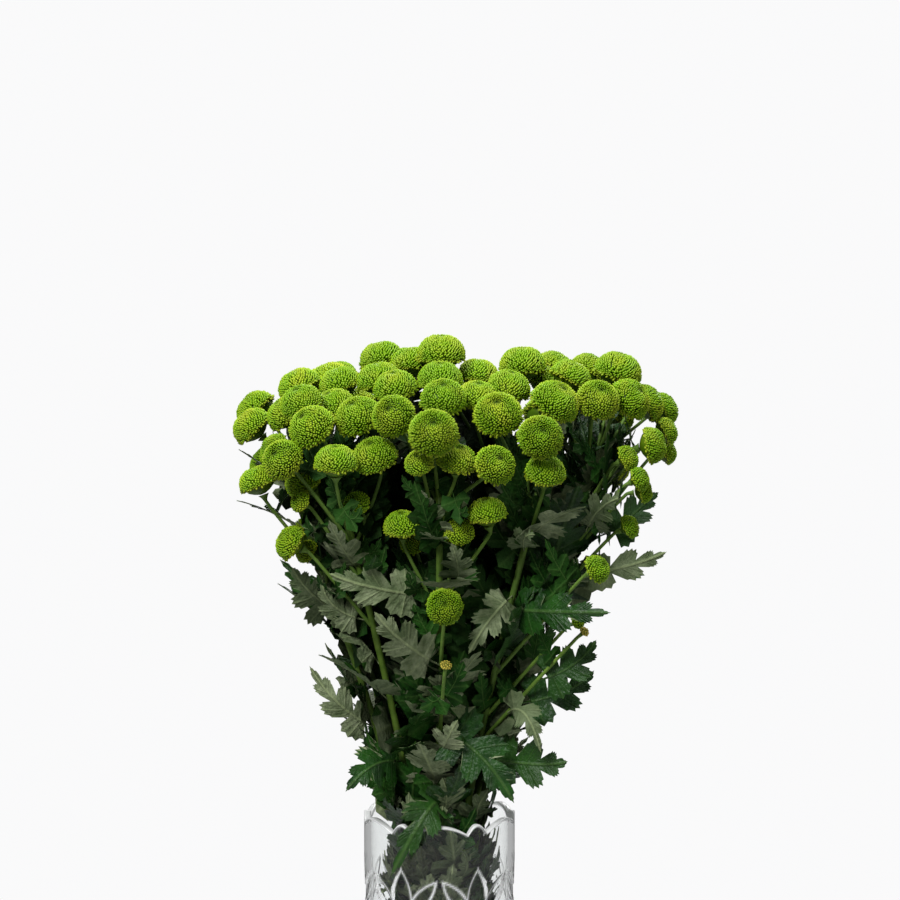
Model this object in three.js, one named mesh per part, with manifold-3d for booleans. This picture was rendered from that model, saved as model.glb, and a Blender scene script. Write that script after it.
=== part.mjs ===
// Green button chrysanthemums standing in a clear pressed glass vase.
// Millimetres, +Z up, the origin at the centre of the vase's flat underside, the front towards -Y.
import * as THREE from 'three';
import Module from 'manifold-3d';

const wasm = await Module();
wasm.setup();

// Vase
const VASE_HEIGHT = 225;
const VASE_RADIUS = 57;
const WALL = 5;
const FLOOR_CURVE = 5;
// Columns of points from one small arch to the next, in degrees, and heights of the rows up the wall
const VASE_COLUMNS = [-20, -8, 0, 8, 20, 30];
const VASE_ROWS = [3, 130, 147, 160, 173, 186, 200];
const FLOOR = 20;
const FOOT_BEVEL = 3;
const SCALLOP_DEPTH = 7;
const REPEATS = 6;
const FIRST_SMALL_ARCH = -60;
const SMALL_ARCH = 8;
const CUT_DEPTH = 1.8;
// Each petal cut: degrees from the small arch, height of its middle, half length, half width, lean.
const PETALS = [
  { turn: 0, height: 168, length: 24, width: 9, lean: 0 },
  { turn: 16, height: 170, length: 19, width: 6, lean: 40 },
  { turn: -16, height: 170, length: 19, width: 6, lean: -40 },
];

// Water
const WATER_LEVEL = 118;
const WATER_GAP = 0.4;
const WATER_SIDES = 24;
// The water's flat sides stay this much further in, and its stem holes reach this far past it
const WATER_INSET = 0.5;
const HOLE_OVER = 5;

// The fan of stems: half its width at a height, straight in the water and spreading above
const FAN = { foot: 28, straight: 130, open: 300, slope: 0.43, flat: 0.74 };
const STEM_FOOT = FLOOR + 0.4;
const STEM_RADIUS = 3.2;
const STEM_SIDES = 5;
const STEM_TAPER = 1;
const INNER_STEMS = 3;
const OUTER_STEMS = 9;

const OUTER_RING = 0.8;
const INNER_RING = 0.36;

// Heads: the gap between two, how closely two of one bunch press together, and the bunches made of them
const HEAD_GAP = 1;
const PRESSED = 0.97;
const BUNCH_LIMIT = 4;
const BUNCHES = 45;
// How heads are pushed clear of each other: rounds, share of the overlap a round, share of that push
// across the picture, and the pull back to the place in the picture
const SETTLING = { rounds: 150, push: 0.3, across: 0.4, home: 0.03 };
// The usual lean of a head at the rim of the fan in degrees, and how it grows towards there
const RIM_LEAN = 64;
const LEAN_GROWTH = 1.4;
const SEAT = 0.62;
const SEAT_GAP = 0.4;
const HEAD_CORE = [[0.62, -0.62], [0.88, -0.05], [0.56, 0.58]];
const HEAD_DIMPLE = 0.76;
const DOME = 0.88;
const UNDERSIDE = 0.75;
const SMALL_HEAD = 12.5;
const BRIDGE = 0.12;
const TWIG_RADIUS = 1.5;
const TWIG_SIDES = 3;
const CUP_HEIGHT = 6;
const CUP_RADIUS = 0.3;
const NECK_ROOM = 5;
const CLEAR = 1.2;
const FORK_LOWEST = 240;
// A fork is at least this far below its head, or this many times the reach to the side
const FORK_DROP = 60;
const FORK_SLOPE = 1.5;
// How far a twig keeps the direction it leaves its stem in, and the one it meets its head in
const TWIG_START = 0.35;
const TWIG_END = { share: 0.4, most: 30 };
const TWIG_STEPS = [0, 0.5];
const BENDING = { rounds: 80, push: 0.5, straighten: 0.04 };
const SMALLEST_CUP = 1.6;

// Leaf outline on one side, from the stem to the tip: along the leaf and out from its rib
const LEAF_EDGE = [[0, 0.015], [0.36, 0.26], [0.47, 0.09], [0.67, 0.31], [0.77, 0.13]];
const LEAF_RIB = [0.47, 0.77];
const LEAF_THICK = 0.9;
// The blade's triangles: points 0 to 4 up one side, 5 the tip, 6 to 10 down the other, 11 and 12 on the rib
const LEAF_FACES = [
  [0, 11, 10], [0, 1, 2], [0, 2, 11], [2, 3, 4], [2, 4, 12], [2, 12, 11], [4, 5, 12],
  [6, 12, 5], [6, 7, 8], [6, 8, 12], [8, 11, 12], [8, 9, 10], [8, 10, 11],
];
const LEAF_FOLD = 0.18;
const LEAF_ROOM = 7;
const HEAD_ROOM = 2.5;
const ROOT_ROOM = 16;
// Room that a blade keeps to its own spray's stems, to the others, to the glass and to the water
const OWN_STEM_ROOM = 1;
const STEM_ROOM = 2;
const GLASS_ROOM = { over: 3, inside: 3, outside: 1.5 };
const WATER_ROOM = 4;
// Where a blade is tested for room: along it, then out to both sides
const BLADE_TESTS = [
  [0.25, 0], [0.4, -0.24, -0.12, 0, 0.12, 0.24], [0.54, -0.18, -0.09, 0, 0.09, 0.18],
  [0.68, -0.3, -0.2, -0.1, 0, 0.1, 0.2, 0.3], [0.8, -0.14, 0, 0.14], [0.9, 0], [1, 0],
];

// The picture's viewpoint: distance in front of the vase's axis, and height
const EYE = { distance: 1700, height: 605 };

// Heads that the picture shows: across, up, depth towards the viewer and width,
// then for some the lean from upright and the heading of that lean in degrees, 0 to the viewer.
const SEEN_HEADS = [
  [-140, 515, 10, 31, 45, -80], [-136, 472, 30, 29, 22, -90], [-104, 545, 0, 33, 28, -100],
  [-100, 533, 35, 31, 30, -40], [-75, 556, -30, 30], [-75, 546, 10, 32],
  [-43, 565, -15, 34], [-45, 550, 18, 33], [-32, 544, 48, 32],
  [-34, 524, 80, 31, 62, -20], [-61, 522, 70, 34], [-80, 530, 40, 32],
  [-95, 515, 68, 34], [-115, 524, 30, 30], [-128, 505, 42, 28, 75, -75],
  [-116, 492, 75, 30, 62, -30], [-100, 492, 38, 31], [-78, 488, 98, 31, 12, 0],
  [-48, 494, 66, 32], [-15, 488, 98, 21, 45, -20], [12, 490, 96, 28, 24, 15],
  [-4, 511, 106, 35, 56, 0], [3, 536, 75, 33], [0, 550, 45, 33],
  [2, 569, 5, 36, 8, 0], [-21, 562, -8, 32], [28, 554, 10, 30],
  [62, 561, -10, 35, 6, 0], [52, 544, 40, 32], [86, 559, -40, 30],
  [97, 552, -10, 32], [112, 557, -30, 30], [133, 557, 0, 36, 18, 70],
  [86, 533, 58, 36], [44, 524, 88, 35, 44, -5], [28, 537, 50, 30],
  [119, 535, 50, 32, 48, 15], [142, 536, 25, 32, 55, 50], [155, 533, -10, 30],
  [167, 528, -30, 27], [76, 507, 106, 32, 64, 8], [78, 484, 84, 29, 26, 10],
  [43, 486, 112, 29, 60, 22], [159, 503, 22, 27, 78, 80], [169, 511, -10, 22],
  [170, 496, -12, 20, 70, 95], [139, 492, 40, 19], [148, 478, 44, 18],
  [152, 467, 32, 18, 78, 85], [142, 440, 30, 18], [118, 408, 70, 21, 60, 55],
  [104, 368, 60, 11], [37, 450, 84, 28, 14, -30], [14, 436, 72, 22],
  [4, 380, 96, 26, 74, 0], [-29, 439, 100, 27, 20, -10], [-24, 421, 76, 20],
  [-62, 457, 72, 20], [-104, 459, 70, 15], [-111, 428, 58, 26, 60, -75],
  [-99, 421, 42, 18],
];

// Closed yellow buds, in the same measures
const SEEN_BUDS = [[5, 335, 84, 8, 25, 20], [109, 361, 62, 7, 50, 60]];

// Leaves that the picture shows: where the leaf leaves its stem, how it bends, its tip,
// all as across, up and depth, then 1 for the glossy upper face to the viewer or -1 for the
// underside, and how wide it is to a flat leaf
const SEEN_LEAVES = [
  { from: [-22, 330, 62], over: [-32, 352, 92], tip: [-49, 376, 96], face: -1, wide: 0.7 },
  { from: [-26, 380, 60], over: [-55, 392, 84], tip: [-83, 405, 82], face: -1, wide: 0.65 },
  { from: [-74, 355, 40], over: [-88, 376, 58], tip: [-88, 401, 62], face: -1, wide: 0.8 },
  { from: [-82, 368, 30], over: [-100, 388, 46], tip: [-111, 410, 48], face: -1, wide: 1 },
  { from: [-6, 421, 50], over: [-8, 446, 60], tip: [-16, 473, 58], face: -1, wide: 1 },
  { from: [19, 395, 66], over: [16, 410, 88], tip: [9, 428, 92], face: -1, wide: 1 },
  { from: [62, 372, 56], over: [98, 378, 82], tip: [138, 379, 78], face: 1, wide: 0.62 },
  { from: [120, 383, 24], over: [145, 402, 44], tip: [169, 413, 40], face: -1, wide: 0.62 },
  { from: [130, 430, 10], over: [152, 445, 18], tip: [171, 457, 10], face: 1, wide: 0.75 },
  { from: [84, 318, 40], over: [104, 334, 62], tip: [117, 356, 60], face: 1, wide: 1 },
  { from: [76, 296, 30], over: [100, 306, 52], tip: [118, 325, 48], face: 1, wide: 1 },
  { from: [50, 258, 36], over: [80, 256, 52], tip: [97, 262, 50], face: 1, wide: 1 },
  { from: [-8, 262, 40], over: [4, 276, 62], tip: [14, 294, 66], face: -1, wide: 1 },
  { from: [9, 286, 42], over: [28, 282, 66], tip: [50, 237, 72], face: 1, wide: 1 },
  { from: [-30, 258, 34], over: [-50, 268, 62], tip: [-71, 239, 62], face: 1, wide: 1 },
  { from: [-5, 226, 34], over: [-4, 240, 72], tip: [-37, 174, 58], face: 1, wide: 0.6 },
  { from: [44, 300, 44], over: [66, 312, 66], tip: [77, 268, 62], face: -1, wide: 0.75 },
  { from: [-60, 282, 20], over: [-78, 300, 30], tip: [-98, 335, 22], face: -1, wide: 0.65 },
  { from: [55, 385, 60], over: [36, 372, 86], tip: [22, 344, 82], face: -1, wide: 0.62 },
  { from: [50, 423, 60], over: [60, 436, 82], tip: [72, 434, 84], face: -1, wide: 1 },
  { from: [102, 438, 30], over: [118, 458, 52], tip: [137, 462, 54], face: -1, wide: 1 },
];

// Leaves up the outer stems: heights, and how far they reach
const LEAF_HEIGHTS = [238, 272, 308, 350, 394, 436];
const LEAF_REACH = [44, 60];
const TWIG_LEAF_REACH = [28, 38];
const TWIG_LEAF_EVERY = 12;
// Leaves against the glass: lowest root, step from one stem to the next, rise of the bend and the tip
const VASE_LEAVES = { out: 45, lowest: 143, step: 9, bend: 26, tip: 52, turn: 8 };
// How often each kind of leaf is tried before it is left out, and how far it is swayed in degrees
const SEEN_TRIES = { tries: 60, sway: 22 };
const VASE_TRIES = { tries: 8, sway: 10 };
const STEM_TRIES = { tries: 10, sway: 24 };
const TWIG_TRIES = { tries: 4, sway: 40 };
const STEM_HEIGHTS = [STEM_FOOT, FAN.straight, 215, FAN.open];
const LAST_STRETCH = 20;

// Heads round the back, in rows: how many, their height, reach across and reach back, and width
const BACK_ROWS = [
  { count: 4, height: 552, across: 88, back: 52, width: 35 },
  { count: 8, height: 522, across: 140, back: 92, width: 35 },
  { count: 7, height: 482, across: 138, back: 118, width: 33 },
  { count: 4, height: 432, across: 112, back: 104, width: 29 },
  { count: 2, height: 384, across: 60, back: 96, width: 25 },
];

let seed = 20261;
function draw(low, high) {
  seed = (seed * 16807) % 2147483647;
  return low + (high - low) * seed / 2147483647;
}

function vector(x, y, z) {
  return new THREE.Vector3(x, y, z);
}

const radians = THREE.MathUtils.degToRad;

// A place in the picture at a depth, as a real place
function placed(across, up, depth) {
  const closer = (EYE.distance - depth) / EYE.distance;
  return vector(across * closer, -depth, EYE.height + (up - EYE.height) * closer);
}

// A direction that leans from upright towards a heading, 0 to the viewer and 90 to the right
function leaning(lean, heading) {
  const side = Math.sin(radians(lean));
  const turn = radians(heading);
  return vector(side * Math.sin(turn), -side * Math.cos(turn), Math.cos(radians(lean)));
}

function fanWidth(height) {
  const over = Math.max(0, Math.min(height, FAN.open) - FAN.straight);
  const curved = FAN.slope * over * over / (2 * (FAN.open - FAN.straight));
  return FAN.foot + curved + FAN.slope * Math.max(0, height - FAN.open);
}

function inFan(u, v, height) {
  return vector(u * fanWidth(height), v * FAN.flat * fanWidth(height), height);
}

function fanPlace(point) {
  const width = fanWidth(point.z);
  return [point.x / width, point.y / (FAN.flat * width)];
}

// Head list
function head(place, width, lean, heading, kind = 'head') {
  const [u, v] = fanPlace(place);
  const rim = Math.min(1, Math.hypot(u, v));
  const usual = leaning(RIM_LEAN * rim ** LEAN_GROWTH, THREE.MathUtils.radToDeg(Math.atan2(u, -v)));
  const axis = lean === undefined ? usual : leaning(lean, heading);
  return { kind, place, home: place.clone(), radius: width / 2, axis };
}

function allHeads() {
  const heads = SEEN_HEADS.map(([across, up, depth, width, lean, heading]) =>
    head(placed(across, up, depth), width, lean, heading));
  for (const row of BACK_ROWS) {
    for (let i = 0; i < row.count; i += 1) {
      const turn = radians(180 * (i + 0.5) / row.count + draw(-6, 6));
      const place = vector(row.across * Math.cos(turn), row.back * Math.sin(turn), row.height + draw(-8, 8));
      heads.push(head(place, row.width * draw(0.85, 1.12)));
    }
  }
  for (const [across, up, depth, width, lean, heading] of SEEN_BUDS) {
    heads.push(head(placed(across, up, depth), width, lean, heading, 'bud'));
  }
  return heads;
}

// A head keeps off the place just under every other head, where that one's own stem comes in
function clearNecks(heads, moves) {
  heads.forEach((one, i) => {
    const neck = one.place.clone().addScaledVector(one.axis, -(one.radius + CUP_HEIGHT));
    heads.forEach((other, j) => {
      const away = other.place.clone().sub(neck);
      const short = other.radius + NECK_ROOM - away.length();
      if (i !== j && short > 0) moves[j].addScaledVector(away.normalize(), SETTLING.push * short);
    });
  });
}

// Heads push each other clear, mostly in depth, and the heads of one bunch draw together
function settle(heads, sameBunch) {
  for (let round = 0; round < SETTLING.rounds; round += 1) {
    const moves = heads.map(() => vector(0, 0, 0));
    for (let i = 0; i < heads.length; i += 1) {
      for (let j = i + 1; j < heads.length; j += 1) {
        const apart = heads[j].place.clone().sub(heads[i].place);
        const bunched = sameBunch(i, j);
        const touching = heads[i].radius + heads[j].radius;
        const wanted = bunched ? PRESSED * touching : touching + HEAD_GAP;
        const short = wanted - apart.length();
        if (short > 0 || bunched) {
          const way = vector(apart.x * SETTLING.across, apart.y, apart.z * SETTLING.across).normalize();
          moves[i].addScaledVector(way, -SETTLING.push * short);
          moves[j].addScaledVector(way, SETTLING.push * short);
        }
      }
    }
    clearNecks(heads, moves);
    heads.forEach((one, i) => {
      one.place.add(moves[i]);
      one.place.x += SETTLING.home * (one.home.x - one.place.x);
      one.place.z += SETTLING.home * (one.home.z - one.place.z);
    });
  }
}

// Neighbours are joined in bunches, the nearest first
function bunchesOf(heads) {
  const bunch = heads.map((one, i) => i);
  const pairs = [];
  for (let i = 0; i < heads.length; i += 1) {
    for (let j = i + 1; j < heads.length; j += 1) {
      const gap = heads[i].place.distanceTo(heads[j].place) - heads[i].radius - heads[j].radius;
      pairs.push({ i, j, gap });
    }
  }
  pairs.sort((a, b) => a.gap - b.gap);
  const links = [];
  let count = heads.length;
  for (const { i, j, gap } of pairs) {
    const size = bunch.filter((one) => one === bunch[i] || one === bunch[j]).length;
    const open = heads[i].kind === 'head' && heads[j].kind === 'head';
    if (open && count > BUNCHES && bunch[i] !== bunch[j] && size <= BUNCH_LIMIT) {
      const old = bunch[j];
      bunch.forEach((one, k) => { if (one === old) bunch[k] = bunch[i]; });
      links.push([i, j, gap]);
      count -= 1;
    }
  }
  return { bunch, links };
}

const heads = allHeads();
settle(heads, () => false);
const { bunch, links } = bunchesOf(heads);
settle(heads, (i, j) => links.some(([a, b]) => a === i && b === j));

// Stems
function stemPlaces() {
  const ring = (count, out, from) => Array.from({ length: count }, (_, i) => {
    const turn = radians(from + 360 * i / count);
    return [out * Math.cos(turn), out * Math.sin(turn)];
  });
  return [...ring(OUTER_STEMS, OUTER_RING, -90), ...ring(INNER_STEMS, INNER_RING, 90)];
}

function nearest(list, distance) {
  return list.reduce((best, one, i) => (distance(one) < distance(list[best]) ? i : best), 0);
}

// The route of a head's own stem: out of its main stem and round to the middle of the head's underside
function twigRoute(one, stem) {
  const seat = one.place.clone().addScaledVector(one.axis, -(SEAT * one.radius + SEAT_GAP));
  const aside = inFan(...stem, seat.z).distanceTo(seat);
  const fork = Math.max(FORK_LOWEST, Math.min(seat.z - FORK_DROP, seat.z - FORK_SLOPE * aside));
  const root = inFan(...stem, fork);
  const upwards = inFan(...stem, fork + 1).sub(root).normalize();
  const length = root.distanceTo(seat);
  const curve = new THREE.CubicBezierCurve3(
    root,
    root.clone().addScaledVector(upwards, TWIG_START * length),
    seat.clone().addScaledVector(one.axis, -Math.min(TWIG_END.most, TWIG_END.share * length)),
    seat,
  );
  const neck = seat.clone().addScaledVector(one.axis, -CUP_HEIGHT);
  return { fork, points: [...TWIG_STEPS.map((t) => curve.getPoint(t)), neck, seat] };
}

function nearestOnLine(point, from, to) {
  const along = to.clone().sub(from);
  const t = THREE.MathUtils.clamp(point.clone().sub(from).dot(along) / along.lengthSq(), 0, 1);
  return { t, at: from.clone().addScaledVector(along, t) };
}

// Each twig is bent clear of the heads that aren't its own
function bendTwigs(twigs) {
  for (let round = 0; round < BENDING.rounds; round += 1) {
    for (const twig of twigs) {
      const moves = twig.points.map(() => vector(0, 0, 0));
      const last = twig.points.length - 2;
      for (const other of heads) {
        if (other === twig.head) continue;
        for (let i = 0; i < last; i += 1) {
          const { t, at } = nearestOnLine(other.place, twig.points[i], twig.points[i + 1]);
          const away = at.sub(other.place);
          const short = other.radius + TWIG_RADIUS + CLEAR - away.length();
          if (short > 0) {
            away.normalize();
            moves[i].addScaledVector(away, BENDING.push * short * (1 - t));
            moves[i + 1].addScaledVector(away, BENDING.push * short * t);
          }
        }
      }
      for (let i = 1; i < last; i += 1) {
        const middle = twig.points[i - 1].clone().add(twig.points[i + 1]).multiplyScalar(0.5);
        moves[i].addScaledVector(middle.sub(twig.points[i]), BENDING.straighten);
        twig.points[i].add(moves[i]);
      }
    }
  }
}

const stems = stemPlaces();
const twigs = heads.map((one) => {
  const [u, v] = fanPlace(one.place);
  const stem = nearest(stems, ([a, b]) => Math.hypot(a - u, b - v));
  return { head: one, stem, ...twigRoute(one, stems[stem]) };
});
bendTwigs(twigs);

// A leaf's own surface: a place along its rib, out to the side and lifted off the blade, as a real place
function bladeOf(leaf) {
  const rib = new THREE.QuadraticBezierCurve3(leaf.root, leaf.bend, leaf.tip);
  const length = leaf.root.distanceTo(leaf.bend) * 0.5 + leaf.bend.distanceTo(leaf.tip) * 0.5
    + leaf.root.distanceTo(leaf.tip) * 0.5;
  return (along, out, lift) => {
    const ahead = rib.getTangent(along);
    const up = leaf.up.clone().addScaledVector(ahead, -leaf.up.dot(ahead)).normalize();
    const side = ahead.clone().cross(up);
    return rib.getPoint(along)
      .addScaledVector(side, out * length)
      .addScaledVector(up, LEAF_FOLD * Math.abs(out) * length + lift);
  };
}

function bladePoints(leaf) {
  const onBlade = bladeOf(leaf);
  return BLADE_TESTS.flatMap(([along, ...outs]) => outs.map((out) => onBlade(along, out, 0)));
}

// The leaf keeps off every head, the other sprays' stems and leaves, the glass and the water
function isClear(leaf, others) {
  const points = bladePoints(leaf);
  const reach = 2 * LEAF_REACH[1] + 20;
  const nearby = others.filter((other) => other.leaf.root.distanceTo(leaf.root) < reach);
  return points.every((point) => {
    const out = Math.hypot(point.x, point.y);
    const low = point.z < VASE_HEIGHT + GLASS_ROOM.over;
    const inWall = out > VASE_RADIUS - WALL - GLASS_ROOM.inside && out < VASE_RADIUS + GLASS_ROOM.outside;
    if (low && inWall) return false;
    if (point.z < WATER_LEVEL + WATER_ROOM) return false;
    if (heads.some((one) => one.place.distanceTo(point) < one.radius + HEAD_ROOM)) return false;
    const ownRoot = point.distanceTo(leaf.root) < ROOT_ROOM;
    const crossed = routes.some(({ stem, from, to, radius }) => {
      const own = stem === leaf.stem;
      const room = radius + (own ? OWN_STEM_ROOM : STEM_ROOM);
      return !(own && ownRoot) && nearestOnLine(point, from, to).at.distanceTo(point) < room;
    });
    if (crossed) return false;
    return nearby.every(({ points: theirs }) => theirs.every((one) => one.distanceTo(point) > LEAF_ROOM));
  });
}

// Tries a leaf as given and then a little turned, and keeps the first that is clear, if one is
function settleLeaf(leaf, placedLeaves, { tries, sway }) {
  for (let attempt = 0; attempt < tries; attempt += 1) {
    const turn = attempt === 0 ? 0 : draw(-sway, sway);
    const lift = attempt === 0 ? 0 : draw(-sway, sway);
    const tried = { ...leaf, bend: leaf.bend.clone(), tip: leaf.tip.clone() };
    for (const point of [tried.bend, tried.tip]) {
      point.sub(leaf.root).applyAxisAngle(vector(0, 0, 1), radians(turn)).add(leaf.root);
      point.z += lift / 2;
    }
    if (isClear(tried, placedLeaves)) {
      placedLeaves.push({ leaf: tried, points: bladePoints(tried) });
      return;
    }
  }
}

function stemPoint(stem, height) {
  return inFan(...stems[stem], height);
}

// The place on any stem nearest to a place
function nearestStem(point) {
  const found = routes.map(({ stem, from, to }) => {
    const { at } = nearestOnLine(point, from, to);
    return { stem, at, gap: at.distanceTo(point) };
  });
  return found[nearest(found, (one) => one.gap)];
}

function outwards(point, turn) {
  const away = vector(point.x, point.y / FAN.flat ** 2, 0).normalize();
  return away.applyAxisAngle(vector(0, 0, 1), radians(turn));
}

function seenLeaf({ from, over, tip, face, wide }) {
  const { stem, at } = nearestStem(placed(...from));
  const end = placed(...tip);
  const bend = placed(...over);
  const toEye = vector(0, -EYE.distance, EYE.height).sub(end).normalize();
  return { stem, root: at, bend, tip: end, up: toEye.multiplyScalar(face), wide };
}

function risingLeaf(stem, root, turn, rise, reach) {
  const away = outwards(root, turn);
  const bend = root.clone().addScaledVector(away, 0.5 * reach);
  const tip = root.clone().addScaledVector(away, reach);
  bend.z += (0.5 * rise + 0.12) * reach;
  tip.z += rise * reach;
  return { stem, root, bend, tip, up: vector(0, 0, 1).addScaledVector(away, -0.4) };
}

function vaseLeaf(stem, height, turn) {
  const root = stemPoint(stem, height);
  const away = outwards(root, turn);
  const further = outwards(root, turn * 1.6);
  const bend = vector(0, 0, height + VASE_LEAVES.bend).addScaledVector(away, VASE_LEAVES.out - 2);
  const tip = vector(0, 0, height + VASE_LEAVES.tip).addScaledVector(further, VASE_LEAVES.out);
  return { stem, root, bend, tip, up: away.negate() };
}

function allLeaves() {
  const leaves = [];
  for (const row of SEEN_LEAVES) settleLeaf(seenLeaf(row), leaves, SEEN_TRIES);
  for (let i = 0; i < OUTER_STEMS; i += 1) {
    const height = VASE_LEAVES.lowest + VASE_LEAVES.step * (i % 3);
    settleLeaf(vaseLeaf(i, height, VASE_LEAVES.turn), leaves, VASE_TRIES);
  }
  LEAF_HEIGHTS.forEach((height, level) => {
    for (let i = level % 2; i < OUTER_STEMS; i += 2) {
      const root = stemPoint(i, height + draw(-8, 8));
      const leaf = risingLeaf(i, root, draw(-40, 40), draw(0.2, 1.1), draw(...LEAF_REACH));
      settleLeaf(leaf, leaves, STEM_TRIES);
    }
  });
  for (let i = 0; i < SEEN_HEADS.length; i += TWIG_LEAF_EVERY) {
    const { stem, points } = twigs[i];
    const leaf = risingLeaf(stem, points[1].clone(), draw(-50, 50), draw(0.2, 1), draw(...TWIG_LEAF_REACH));
    settleLeaf(leaf, leaves, TWIG_TRIES);
  }
  return leaves.map(({ leaf }) => leaf);
}

// Every straight stretch of stem and twig. A stem ends at its highest fork
const routes = [];
function addRoute(stem, points, radius) {
  for (let k = 0; k + 1 < points.length; k += 1) {
    routes.push({ stem, from: points[k], to: points[k + 1], radius });
  }
}
stems.forEach((_, i) => {
  const forks = twigs.filter((twig) => twig.stem === i).map((twig) => twig.fork);
  const top = Math.max(...forks);
  const heights = [...STEM_HEIGHTS.filter((height) => height < top - LAST_STRETCH), top];
  addRoute(i, heights.map((height) => stemPoint(i, height)), STEM_RADIUS);
});
for (const { stem, points } of twigs) addRoute(stem, points, TWIG_RADIUS);
const leaves = allLeaves();

// Solids are built from plain closed meshes and joined with the solid library
function solid(points, faces) {
  const flat = points.flatMap((point) => point.toArray());
  return new wasm.Manifold(new wasm.Mesh({
    numProp: 3,
    vertProperties: new Float32Array(flat),
    triVerts: new Uint32Array(faces.flat()),
  }));
}

// A closed skin over rings of equal count, each turning anticlockwise seen from its far end, first to last
function ringSolid(rings, first, last) {
  const count = rings[0].length;
  const points = [...rings.flat(), first, last];
  const start = points.length - 2;
  const end = points.length - 1;
  const faces = [];
  for (let i = 0; i < count; i += 1) {
    const next = (i + 1) % count;
    faces.push([start, next, i]);
    for (let row = 0; row + 1 < rings.length; row += 1) {
      const low = row * count;
      const high = low + count;
      faces.push([low + i, low + next, high + next], [low + i, high + next, high + i]);
    }
    const top = (rings.length - 1) * count;
    faces.push([end, top + i, top + next]);
  }
  return solid(points, faces);
}

// A round stalk along points, with a radius at each
function stalk(points, radii, sides) {
  const rings = points.map((point, i) => {
    const ahead = points[Math.min(i + 1, points.length - 1)];
    const behind = points[Math.max(i - 1, 0)];
    const along = ahead.clone().sub(behind).normalize();
    const right = vector(0, 1, 0).cross(along).normalize();
    const back = along.clone().cross(right);
    return Array.from({ length: sides }, (_, k) => {
      const angle = 2 * Math.PI * k / sides;
      return point.clone()
        .addScaledVector(right, radii[i] * Math.cos(angle))
        .addScaledVector(back, radii[i] * Math.sin(angle));
    });
  });
  return ringSolid(rings, points[0], points[points.length - 1]);
}

// Turns a shape's own x, y and z into real ones, with z along an axis
function alongAxis(place, axis, turn) {
  const toAxis = new THREE.Quaternion().setFromUnitVectors(vector(0, 0, 1), axis);
  const spin = new THREE.Quaternion().setFromAxisAngle(vector(0, 0, 1), turn);
  toAxis.multiply(spin);
  return (point) => point.clone().applyQuaternion(toAxis).add(place);
}

// A head: a low dome whose faces are each drawn out to a blunt floret
function headSolid(one) {
  const across = one.radius < SMALL_HEAD ? 4 : 5;
  const core = [vector(0, 0, -SEAT)];
  HEAD_CORE.forEach(([out, up], row) => {
    for (let i = 0; i < across; i += 1) {
      const turn = 2 * Math.PI * (i + row / 2) / across;
      core.push(vector(out * Math.cos(turn), out * Math.sin(turn), up));
    }
  });
  core.push(vector(0, 0, HEAD_DIMPLE));
  const faces = [];
  const tips = [];
  const crown = core.length - 1;
  for (let i = 0; i < across; i += 1) {
    const next = (i + 1) % across;
    faces.push([0, 1 + next, 1 + i]);
    HEAD_CORE.slice(1).forEach((_, row) => {
      const low = 1 + row * across;
      const high = low + across;
      const lower = [low + i, low + next, high + i];
      if (row === 0) faces.push(lower);
      else tips.push(lower);
      tips.push([low + next, high + next, high + i]);
    });
    const top = crown - across;
    tips.push([top + i, top + next, crown]);
  }
  for (const [a, b, c] of tips) {
    const middle = core[a].clone().add(core[b]).add(core[c]).divideScalar(3);
    const squash = middle.z > 0 ? DOME : UNDERSIDE;
    middle.divideScalar(Math.hypot(middle.x, middle.y, middle.z / squash));
    const tip = core.push(middle) - 1;
    faces.push([a, b, tip], [b, c, tip], [c, a, tip]);
  }
  const put = alongAxis(one.place, one.axis, one.radius);
  return solid(core.map((point) => put(point.multiplyScalar(one.radius))), faces);
}

function bridge(one, other) {
  const radius = BRIDGE * Math.min(one.radius, other.radius);
  return stalk([one.place, other.place], [radius, radius], 3);
}

// A leaf: a thin lobed blade, arched along its rib and folded a little up from it
function leafSolid(leaf) {
  const onBlade = bladeOf(leaf);
  const { wide = 1 } = leaf;
  const halves = [1, -1].map((side) => LEAF_EDGE.map(([along, out]) => [along, side * wide * out]));
  const outline = [...halves[0], [1, 0], ...halves[1].reverse(), ...LEAF_RIB.map((along) => [along, 0])];
  const half = LEAF_THICK / 2;
  const points = [half, -half].flatMap((lift) => outline.map(([along, out]) => onBlade(along, out, lift)));
  const faces = LEAF_FACES.map(([a, b, c]) => [a, b, c]);
  const count = outline.length;
  LEAF_FACES.forEach(([a, b, c]) => faces.push([a + count, c + count, b + count]));
  const edge = count - LEAF_RIB.length;
  for (let i = 0; i < edge; i += 1) {
    const next = (i + 1) % edge;
    faces.push([i, i + count, next + count], [i, next + count, next]);
  }
  return solid(points, faces);
}

function mesh(name, body, material) {
  const { vertProperties, triVerts } = body.getMesh();
  const geometry = new THREE.BufferGeometry();
  geometry.setAttribute('position', new THREE.BufferAttribute(vertProperties, 3));
  geometry.setIndex(new THREE.BufferAttribute(triVerts, 1));
  geometry.computeVertexNormals();
  const made = new THREE.Mesh(geometry, material);
  made.name = name;
  return made;
}

const join = (bodies) => wasm.Manifold.union(bodies);

function onePiece(body) {
  const parts = body.decompose();
  return parts[nearest(parts, (part) => -part.volume())];
}

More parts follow.
